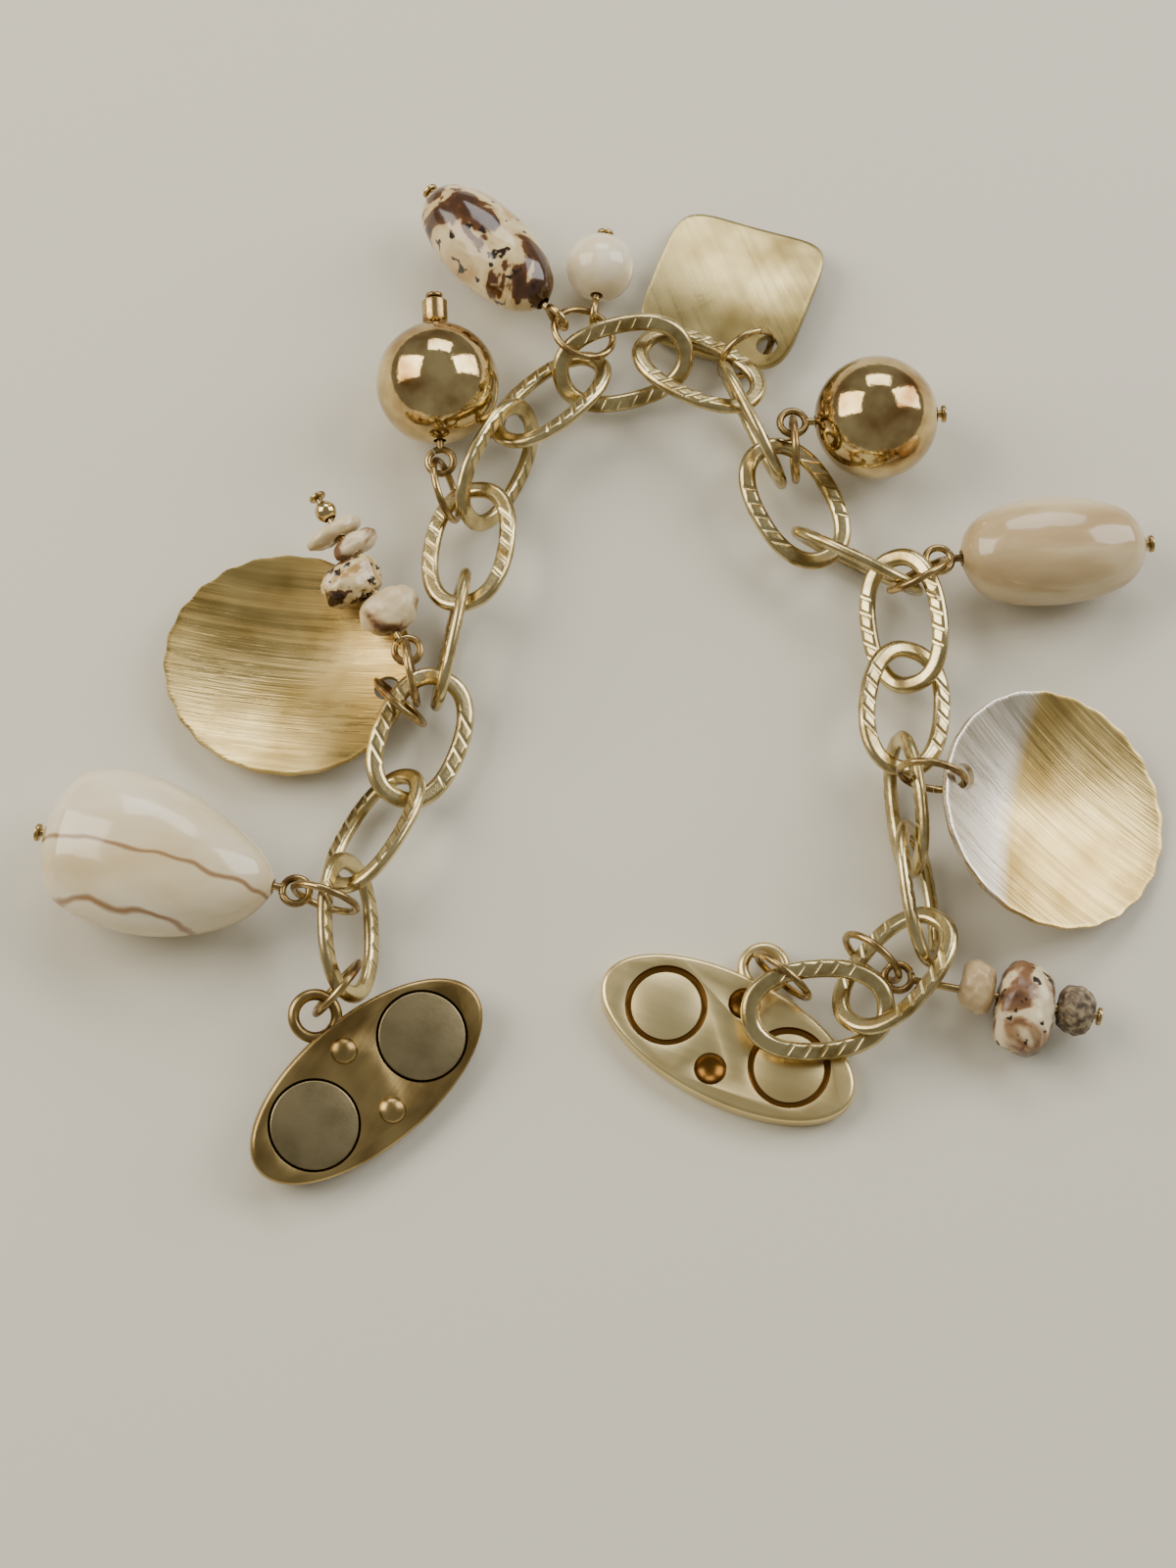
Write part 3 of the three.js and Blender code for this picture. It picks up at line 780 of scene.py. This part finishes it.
# %% The stones
# Each row gives the pin, the slot, the look, and how deep the stone's dents are in millimetres.
stones = {
    "nugget_bead": ("nugget", "cream_stone", veined_cream, 0.5),
    "jasper_bead": ("jasper", "jasper_stone", picture_jasper, 0.7),
    "white_bead": ("white", "white_stone", warm_white, 0.05),
    "olive_bead": ("olive", "beige_stone", ridged_beige, 0.6),
    "cluster_drop_chip": ("cluster", "cream_stone", brown_and_cream, 0.6),
    "cluster_jasper_chip": ("cluster", "jasper_stone", {**picture_jasper, "size": 3, "specks": 1.0}, 0.8),
    "cluster_brown_chip": ("cluster", "speckled_stone", {**brown_and_cream, "colours": browner}, 0.5),
    "cluster_cream_chip": ("cluster", "cream_stone", {**veined_cream, "veins": None}, 0.4),
    "beige_flat_chip": ("beige", "beige_stone", {**ridged_beige, "finish": tumbled}, 0.7),
    "beige_main_chip": (
        "beige", "cream_stone", {**brown_and_cream, "colours": browner, "size": 4.5, "specks": 1.3}, 0.8
    ),
    "beige_rough_chip": ("beige", "speckled_stone", rough_grey, 0.7),
}
print(len(stones), "stones to thread")

# %% Measure each stone, shape it and thread it
section_apart = 0.02 * mm
section_corners = 12
round_share = 0.1
easing_rounds = 3
dent_share = 0.35
smallest_dent = 1.5 * mm


def stone_rings(own, low, high, count):
    """Rings of a stone, from the sections of its CAD bead, with its ends rounded and its steps eased."""
    sections = []
    for x in np.unique(np.round(own[:, 0] / section_apart) * section_apart):
        here = own[np.abs(own[:, 0] - x) < section_apart]
        if len(here) >= section_corners:
            least, most = here.min(0), here.max(0)
            sections.append((x, *((least + most) / 2)[1:], *((most - least) / 2)[1:]))
    table = np.array(sections)
    along = low + (high - low) * (1 - np.cos(np.pi * np.arange(1, count) / count)) / 2
    sides = np.array([np.interp(along, table[:, 0], table[:, c]) for c in (1, 2, 3, 4)])
    for _ in range(easing_rounds):
        sides[:, 1:-1] = (sides[:, :-2] + 2 * sides[:, 1:-1] + sides[:, 2:]) / 4
    from_end = np.minimum(along - low, high - along) / (round_share * (high - low))
    sides[2:] *= np.sqrt(1 - np.clip(1 - from_end, 0, 1) ** 2)
    mouth = drill_wide / 2
    sides[2:] = np.maximum(sides[2:], mouth * 1.1)
    middle = [tuple(map(float, ring)) for ring in zip(along, *sides)]
    return [(low, 0, 0, mouth, mouth), *middle, (high, 0, 0, mouth, mouth)]


for cad_node, (owner, slot, look, depth) in stones.items():
    own, low, high = span_on_pin(cad_node, owner)
    if cad_node == "white_bead":
        bead = drilled_bead(f"{cad_node}_stone", ball_rings(low, high, 28), sides=36)
    else:
        bead = drilled_bead(f"{cad_node}_stone", stone_rings(own, low, high, 22), sides=36)
        apply_modifier(bead, "SUBSURF", levels=1, render_levels=1)
    dent(bead, max((high - low) * dent_share, smallest_dent), depth * mm)
    smooth(bead, degrees=60)
    name = f"{slot} of the {cad_node}".replace("_", " ")
    settle(bead, places[owner], cad_node, stone(name, places[owner], look))
    print(cad_node, "is", round((high - low) / mm, 1), "mm long")

# %% [markdown]
# The sheet charms are stamped from thin plate, dished or bent in a press, and brushed in one
# direction. A cylinder gives the outline, insets lay rings of faces towards its middle, and each ring
# is then lifted to its height in the dish. The brushed finish is noise drawn out a long way along the
# strokes and kept narrow across them.


# %% Brushed plate material
# Drawn out fifty times along the strokes, noise turns into scratches. They are drawn about 0.25 mm
# wide, because the real ones are too fine to show. Streaks are wider marks of the same kind.
scratch_wide = 0.24
scratch_stretch = (0.02, 1, 0.2)
streak_wide = 0.7
streak_stretch = (0.04, 1, 0.2)
patch_wide = 7.0
brushed_roughness = 0.3
# Brown for sunk places: real tarnish, and painted shade in narrow gaps.
tarnish_and_shade_brown = "#7A5628"
tarnish_and_shade_depth = 0.2


def brushed_brass(name, place, bright, dull, strokes, worn=None, low_places=None):
    """Plate whose parallel scratches spread each highlight across them, like light on brushed hair.

    Strokes are (angle in degrees, depth, contrast), and worn is a painted reflection of a window, paler
    along the plate's own X, given as (colour, from, to). Low places, where brown stands for tarnish and for
    painted shade, are (long, wide, below). Lengths are in millimetres."""
    strokes_at, stroke_deep, contrast = strokes
    material = new_material(name)
    own = in_millimetres(material, place)
    turned = place @ Matrix.Rotation(math.radians(strokes_at), 4, "Z")
    scratched = in_millimetres(material, turned, scratch_stretch)
    lines = node(material, "TexNoise", {"Vector": scratched, "Scale": 1 / scratch_wide, "Detail": 4})
    streaked = in_millimetres(material, turned, streak_stretch)
    streaks = node(material, "TexNoise", {"Vector": streaked, "Scale": 1 / streak_wide, "Detail": 3})
    patches = node(material, "TexNoise", {"Vector": own, "Scale": 1 / patch_wide, "Detail": 2})
    base = node(material, "ValToRGB", {"Fac": patches}, stops=[(0.36, bright), (0.68, dull)])
    share = node(material, "ValToRGB", {"Fac": streaks}, stops=[(0.5, 0.0), (0.75, contrast)])
    over = {mix_share: share, mix_from: base, mix_to: colour(dull)}
    base = node(material, "Mix", over, mixed, data_type="RGBA")
    # A paler colour along the plate's own X: a painted reflection of the window on the side that faces it.
    if worn:
        reflection_colour, reflection_from, reflection_to = worn
        along = node(material, "SeparateXYZ", {"Vector": own}, out="X")
        share = node(material, "MapRange", {"Value": along, "From Min": reflection_from, "From Max": reflection_to})
        over = {mix_share: share, mix_from: base, mix_to: colour(reflection_colour)}
        base = node(material, "Mix", over, mixed, data_type="RGBA")
    # Brown in sunk places: tarnish in the recess half, and painted shade in the gaps round the magnets.
    if low_places:
        long, wide, below = low_places
        flat = in_millimetres(material, place, (2 / long, 2 / wide, 0))
        reach = node(material, "VectorMath", {0: flat}, "Value", operation="LENGTH")
        inside = node(material, "MapRange", {"Value": reach, "From Min": 1, "From Max": 0.98})
        height = node(material, "SeparateXYZ", {"Vector": own}, out="Z")
        limits = {"Value": height, "From Min": below, "From Max": below - tarnish_and_shade_depth}
        deep = node(material, "MapRange", limits)
        share = node(material, "Math", {0: inside, 1: deep}, operation="MULTIPLY")
        over = {mix_share: share, mix_from: base, mix_to: colour(tarnish_and_shade_brown)}
        base = node(material, "Mix", over, mixed, data_type="RGBA")
    spread = contrast / 3
    shine = [(0.35, brushed_roughness - spread), (0.7, brushed_roughness + spread)]
    inputs = {
        "Metallic": 1.0,
        "Base Color": base,
        "Roughness": node(material, "ValToRGB", {"Fac": streaks}, stops=shine),
        "Normal": node(material, "Bump", {"Height": lines, "Distance": stroke_deep * mm}),
    }
    return finish_with(material, inputs)


print("scratches are", round(1 / scratch_stretch[0]), "times as long as they are wide")


# %% Headings of the plates
plates = {
    "left_disc": {"heading": (0.97, -0.24, 0), "roll": 0},
    "right_disc": {"heading": (-0.88, 0.18, 0.43), "roll": 0},
    "square_plate": {"heading": (0.94, -0.34, 0.08), "roll": -3},
    "magnet_half": {"heading": (0.755, 0.656, 0), "roll": 16},
    "recess_half": {"heading": (0.884, -0.468, 0), "roll": 0},
}


def plate_place(cad_node, drop):
    """A plate's own origin: the middle of its outline, this far below its lowest point."""
    axes = axes_from_heading(**plates[cad_node])
    low, high = box_in(axes, cad_node)
    middle = Vector(((low.x + high.x) / 2, (low.y + high.y) / 2, low.z - drop))
    return Matrix.Translation(axes @ middle) @ axes.to_4x4()


for cad_node, turned in plates.items():
    low, high = box_in(axes_from_heading(**turned), cad_node)
    print(cad_node, "is", [round(side / mm, 1) for side in high - low], "mm in the CAD")


# %% Tools for round plates
def round_tool(wide, x, y, low, high, sides):
    """An upright cylinder between two heights, as a blank to be shaped or as a tool to cut with."""
    nothing_selected()
    bpy.ops.mesh.primitive_cylinder_add(
        vertices=sides, radius=wide / 2, depth=high - low, location=(x, y, (low + high) / 2)
    )
    bpy.ops.object.transform_apply(location=True, rotation=True, scale=True)
    return bpy.context.object


def groups_of(thing, value_at, step):
    """Vertex numbers that share the same value, to the nearest step."""
    groups = {}
    for v in thing.data.vertices:
        groups.setdefault(round(value_at(v.co) / step), []).append(v.index)
    return {level * step: numbers for level, numbers in groups.items()}


def press(thing, height_at):
    """Lifts each vertex by the height at its place. Those with the same lift move together."""
    groups = groups_of(thing, height_at, 0.01 * mm)
    work_on(thing)
    edit()
    for height, numbers in groups.items():
        choose_numbers(numbers)
        bpy.ops.transform.translate(value=(0, 0, height))
    leave_edit()


# %% Press the discs
disc_long = 27.0 * mm
disc_wide = 25.4 * mm
disc_thick = 0.9 * mm
disc_dish = 2.2 * mm
disc_hole_wide = 2.8 * mm
disc_hole_in = 2.5 * mm
disc_teeth = 24
sides_per_tooth = 6
tooth_deep = 0.28 * mm
disc_insets = [0.5 * mm] + [1.3 * mm] * 9
plate_edge = 0.16 * mm
# The lowest corners of the CAD disc lie on a ring at this share of the way out, a little up the dish.
cad_inner_ring = 0.4


def tooth_at(turn):
    """How far out the rim is at this turn, in tooth depths: 0 on a tip, and less in a hollow. Wear has
    left the teeth uneven."""
    worn = 0.3 + 0.35 * (1 - math.cos(turn)) * (0.75 + 0.25 * math.cos(5 * turn))
    return worn * (math.cos(turn * disc_teeth) - 1) / 2


def toothed_blank(name):
    """A flat round blank with rings of faces, an eased edge and a toothed rim, drawn to an oval."""
    disc = round_tool(disc_long, 0, 0, 0, disc_thick, disc_teeth * sides_per_tooth)
    work_on(disc)
    named(name)
    edit()
    choose("faces", lambda f: abs(f.normal.z) > 0.9)
    for width in disc_insets:
        bpy.ops.mesh.inset(thickness=width)
    rim = disc_long / 2
    on_rim = lambda v: math.hypot(v.co.x, v.co.y) > rim * 0.999
    level = lambda e: abs(e.verts[0].co.z - e.verts[1].co.z) < disc_thick / 2
    choose("edges", lambda e: level(e) and all(on_rim(v) for v in e.verts))
    bpy.ops.mesh.bevel(offset=plate_edge, segments=2)
    leave_edit()
    near_rim = lambda co: math.hypot(co.x, co.y) > rim * 0.94
    groups = groups_of(disc, lambda co: tooth_at(math.atan2(co.y, co.x)) if near_rim(co) else 0, 0.05)
    edit()
    for depth, numbers in groups.items():
        choose_numbers(numbers)
        share = 1 + depth * tooth_deep / rim
        bpy.ops.transform.resize(value=(share, share, 1), center_override=(0, 0, 0))
    bpy.ops.mesh.select_all(action="SELECT")
    bpy.ops.transform.resize(value=(1, disc_wide / disc_long, 1), center_override=(0, 0, 0))
    leave_edit()
    return disc


pattern_disc = toothed_blank("pattern disc")
print("the blank is", [round(side / mm, 1) for side in pattern_disc.dimensions], "mm")

# %% Dish and punch the blank, and dress a copy for each place
dish_at = lambda co: disc_dish * ((2 * co.x / disc_long) ** 2 + (2 * co.y / disc_wide) ** 2)
press(pattern_disc, dish_at)
disc_hole_at = disc_long / 2 - disc_hole_in
cut_with(pattern_disc, round_tool(disc_hole_wide, disc_hole_at, 0, -1 * mm, 6 * mm, 32))
smooth(pattern_disc, degrees=35)

# The raised side of the right disc is painted silver-white beyond a soft line: a painted window reflection.
painted_window_reflection = ("#DDD3C2", 3.6, 5.6)
for side, strokes_at, worn in [("left", 8, None), ("right", -24, painted_window_reflection)]:
    cad_node = f"{side}_disc"
    place = plate_place(cad_node, disc_dish * cad_inner_ring**2)
    disc = copy_of(pattern_disc, f"{side}_brushed_disc")
    name = f"brushed brass of the {side} disc"
    brushed = brushed_brass(name, place, "#DCC281", "#A98D50", (strokes_at, 0.05, 0.3), worn)
    settle(disc, place, cad_node, brushed)
    print(cad_node, "has its strokes at", strokes_at, "degrees")
bpy.data.objects.remove(pattern_disc)

# %% Press the square plate
square_side = 18.0 * mm
square_thick = 1.0 * mm
square_bend = 0.8 * mm
square_power = 5
square_hole_wide = 2.4 * mm
square_hole_in = 2.9 * mm
square_rings = (0.95, 0.92, 0.9, 0.88, 0.85, 0.82, 0.75, 0.6)


def shape_outline(thing, long, wide, power):
    """Draws a round cylinder out to an oval. Corners that mirror each other move together."""
    turn_of = lambda co: math.atan2(abs(co.y), abs(co.x))
    groups = groups_of(thing, turn_of, math.radians(0.25))
    radius = max(v.co.x for v in thing.data.vertices)
    work_on(thing)
    edit()
    for turn, numbers in groups.items():
        spot = oval(turn, long / 2, wide / 2, power)
        scale_x = spot.x / (radius * math.cos(turn)) if math.cos(turn) > 0.01 else 1
        scale_y = spot.y / (radius * math.sin(turn)) if math.sin(turn) > 0.01 else 1
        choose_numbers(numbers)
        bpy.ops.transform.resize(value=(scale_x, scale_y, 1), center_override=(0, 0, 0))
    leave_edit()


def ease_outline(width, segments):
    """Bevels the sharp edges between the faces and the rim."""
    choose("edges", lambda e: e.calc_face_angle(0) > math.radians(60))
    bpy.ops.mesh.bevel(offset=width, segments=segments)


print("one side of the square is", round(square_side / disc_long, 2), "of a disc's width")

# %% Shape, bend and punch the square
square = round_tool(square_side, 0, 0, 0, square_thick, 96)
work_on(square)
named("square_brushed_plate")
shape_outline(square, square_side, square_side, square_power)
edit()
choose("faces", lambda f: abs(f.normal.z) > 0.9)
for share in square_rings:
    bpy.ops.mesh.inset(thickness=0)
    bpy.ops.transform.resize(value=(share, share, 1), center_override=(0, 0, 0))
ease_outline(plate_edge, 2)
leave_edit()
half = square_side / 2
press(square, lambda co: square_bend * ((co.x / half) ** 2 - (co.y / half) ** 2 + 1))
corner = half - square_hole_in
cut_with(square, round_tool(square_hole_wide, corner, -corner, -2 * mm, 5 * mm, 32))
smooth(square, degrees=35)

# Satin brass is rubbed with fine paper: it shows soft patches of light, and hardly any single stroke.
square_place = plate_place("square_plate", 0)
name = "satin brass of the square plate"
satin = brushed_brass(name, square_place, "#CFBB82", "#8C7A4A", (-50, 0.012, 0.12))
settle(square, square_place, "square_plate", satin)
print("the square plate has", len(square.data.polygons), "faces")

# %% [markdown]
# The clasp is two long oval castings. One holds two round magnets and two small pegs, and the other
# has two shallow recesses and two dimples that they drop into. Each has an eye for its ring. The
# outline is a cylinder drawn out to an ellipse, its edge is bevelled, and the pockets are cut with
# round tools. A recess has a raised floor, which leaves a narrow groove round it where tarnish stays.

# %% Sizes of the clasp
clasp_long = 28.6 * mm
clasp_wide = 13.6 * mm
clasp_thick = 2.6 * mm
clasp_power = 2.0
clasp_edge = 0.5 * mm
small_edge = 0.07 * mm
eye_wide = 5.6 * mm
eye_wire = 1.2 * mm
eye_out = 1.7 * mm
eye_below = 0.75 * mm
magnet_spacing = 14.2 * mm
magnet_wide = 9.0 * mm
magnet_thick = 1.7 * mm
magnet_proud = 0.2 * mm
magnet_gap = 0.25 * mm
magnet_edge = 0.15 * mm
recess_wide = 8.6 * mm
recess_deep = 0.8 * mm
floor_wide = 7.2 * mm
floor_below = 0.3 * mm
peg_spacing = 7.8 * mm
peg_wide = 2.8 * mm
peg_tall = 0.8 * mm
socket_wider = 0.6 * mm
socket_deeper = 0.3 * mm
above_all = 5 * mm
print("the clasp is", round(clasp_long / clasp_wide, 1), "times as long as it is wide")


# %% Cast the plates
def clasp_blank(name):
    blank = round_tool(clasp_long, 0, 0, 0, clasp_thick, 96)
    work_on(blank)
    named(name)
    shape_outline(blank, clasp_long, clasp_wide, clasp_power)
    edit()
    ease_outline(clasp_edge, 4)
    leave_edit()
    bpy.ops.mesh.primitive_torus_add(
        major_segments=48,
        minor_segments=16,
        major_radius=(eye_wide - eye_wire) / 2,
        minor_radius=eye_wire / 2,
        location=(0, clasp_wide / 2 + eye_out, clasp_thick - eye_below),
    )
    cut_with(blank, bpy.context.object, "UNION")
    return blank


def dome(x, y, z, wide, tall):
    """A ball pressed flat, of which the upper half is a peg and the lower half a dimple."""
    nothing_selected()
    bpy.ops.mesh.primitive_uv_sphere_add(segments=28, ring_count=16, radius=wide / 2, location=(x, y, z))
    made = bpy.context.object
    made.scale.z = tall * 2 / wide
    bpy.ops.object.transform_apply(location=True, rotation=True, scale=True)
    return made


def finish_casting(plate):
    settings = {"width": small_edge, "segments": 2, "angle_limit": math.radians(45)}
    apply_modifier(plate, "BEVEL", limit_method="ANGLE", **settings)
    smooth(plate, degrees=35)
    print(plate.name, "is", [round(side / mm, 1) for side in plate.dimensions], "mm")


# %% The half with the magnets
magnet_plate = clasp_blank("magnet_clasp_half")
pocket_wide = magnet_wide + 2 * magnet_gap
pocket_low = clasp_thick + magnet_proud - magnet_thick - magnet_gap
for side in (1, -1):
    x, y = side * magnet_spacing / 2, side * peg_spacing / 2
    cut_with(magnet_plate, round_tool(pocket_wide, x, 0, pocket_low, above_all, 64))
    cut_with(magnet_plate, dome(0, y, clasp_thick, peg_wide, peg_tall), "UNION")
finish_casting(magnet_plate)

# %% The half with the recesses
recess_plate = clasp_blank("recess_clasp_half")
for side in (1, -1):
    x, y = side * magnet_spacing / 2, side * peg_spacing / 2
    cut_with(recess_plate, round_tool(recess_wide, x, 0, clasp_thick - recess_deep, above_all, 64))
    raised_floor = round_tool(floor_wide, x, 0, clasp_thick / 2, clasp_thick - floor_below, 64)
    cut_with(recess_plate, raised_floor, "UNION")
    socket = dome(0, y, clasp_thick, peg_wide + socket_wider, peg_tall + socket_deeper)
    cut_with(recess_plate, socket)
finish_casting(recess_plate)


# %% Place the clasp and its magnets
# The satin castings have almost no stroke left to see, only a soft sheen. What is sunk is brown: tarnish
# in the recess half, and painted shade in the narrow gaps round the magnets.
tarnish_and_shade_in = 0.8
tarnish_and_shade_below = 0.35


def clasp_place(cad_node):
    """The eye sticks out on one side, so the plate's middle is half its width from the other side."""
    axes = axes_from_heading(**plates[cad_node])
    low, high = box_in(axes, cad_node)
    middle = Vector(((low.x + high.x) / 2, low.y + clasp_wide / 2, low.z))
    return Matrix.Translation(axes @ middle) @ axes.to_4x4()


sunk_long, sunk_wide = clasp_long / mm - 2 * tarnish_and_shade_in, clasp_wide / mm - 2 * tarnish_and_shade_in
sunk = (sunk_long, sunk_wide, clasp_thick / mm - tarnish_and_shade_below)
magnet_place = clasp_place("magnet_half")
name = "worn satin brass of the magnet half"
worn_satin = brushed_brass(name, magnet_place, "#BBA36E", "#80693F", (17, 0.01, 0.1), low_places=sunk)
settle(magnet_plate, magnet_place, "magnet_half", worn_satin)

recess_place = clasp_place("recess_half")
name = "satin brass of the recess half"
pale_satin = brushed_brass(name, recess_place, "#EAD9A2", "#D9C28A", (6, 0.005, 0.06), low_places=sunk)
settle(recess_plate, recess_place, "recess_half", pale_satin)

# Nickel on a magnet tarnishes to a warm grey. It is dull enough to blur the windows to a faint glow.
magnet_nickel = plated_metal(
    "tarnished nickel-plated magnet", "#A09270", "#746A4C", smoothest=0.36, roughest=0.46, tarnish_size=4
)
magnet_top = clasp_thick + magnet_proud
for end, side in [("near", -1), ("far", 1)]:
    x = side * magnet_spacing / 2
    magnet = round_tool(magnet_wide, x, 0, magnet_top - magnet_thick, magnet_top, 64)
    magnet.name = magnet.data.name = f"{end}_clasp_magnet"
    apply_modifier(magnet, "BEVEL", width=magnet_edge, segments=3, limit_method="ANGLE")
    smooth(magnet, degrees=40)
    settle(magnet, magnet_place, f"magnet_{end}", magnet_nickel)
    print("the", end, "magnet stands", round(magnet_proud / mm, 1), "mm proud of its plate")

# %% [markdown]
# The bracelet lies on a pale floor under three wide soft lights, like windows on the left, on the
# right and at the far side. The camera looks steeply down, as in the photograph: 70 degrees above the
# table, and far enough for the whole arch to fit a tall frame.

# %% Floor
# Matt paper scatters the light evenly, so nothing is mirrored in it and the shadows stay soft.
nothing_selected()
bpy.ops.mesh.primitive_plane_add(size=3, location=(0, 0, 0))
floor = named("pale_floor")
floor_paper = new_material("matt pale paper")
finish_with(floor_paper, {"Base Color": colour("#D8D4C4"), "Roughness": 0.85})
floor.data.materials.append(floor_paper)
print("the floor is", floor.dimensions.x, "m wide")


# %% Light
def soft_light(name, place, wide, tall, power, tint):
    """A rectangle of light that looks at the middle of the table."""
    bpy.ops.object.light_add(type="AREA", location=place)
    light = bpy.context.object
    light.name = name
    light.data.shape = "RECTANGLE"
    light.data.size = wide
    light.data.size_y = tall
    light.data.energy = power
    light.data.color = colour(tint)[:3]
    light.rotation_euler = (-Vector(place)).to_track_quat("-Z", "Y").to_euler()
    print(name, "gives", power, "W")


soft_light("left window", (-0.55, 0.15, 0.45), wide=0.5, tall=0.6, power=5.2, tint="#FFF6E8")
soft_light("right window", (0.55, 0.25, 0.4), wide=0.4, tall=0.6, power=4.0, tint="#FBFAFA")
soft_light("far window", (0.05, 0.65, 0.55), wide=0.5, tall=0.35, power=2.4, tint="#FFFFFF")

sky = bpy.data.worlds.new("soft room")
bpy.context.scene.world = sky
sky.use_nodes = True
sky.node_tree.nodes["Background"].inputs["Color"].default_value = colour("#CCC9BC")
sky.node_tree.nodes["Background"].inputs["Strength"].default_value = 0.5

# %% Camera
looking_down = math.radians(70)
layout_middle = Vector((-1.807, -13.140, 0)) * mm
camera_distance = 315 * mm

away = Vector((0, -math.cos(looking_down), math.sin(looking_down)))
bpy.ops.object.camera_add(location=layout_middle + away * camera_distance)
camera = bpy.context.object
camera.name = "camera"
camera.rotation_euler = (math.pi / 2 - looking_down, 0, 0)
camera.data.sensor_fit = "VERTICAL"
camera.data.sensor_height = 32
camera.data.lens = 60
camera.data.clip_start = 0.01
camera.data.dof.use_dof = False
bpy.context.scene.camera = camera
print("the camera is", round(camera.location.z / mm), "mm above the table")
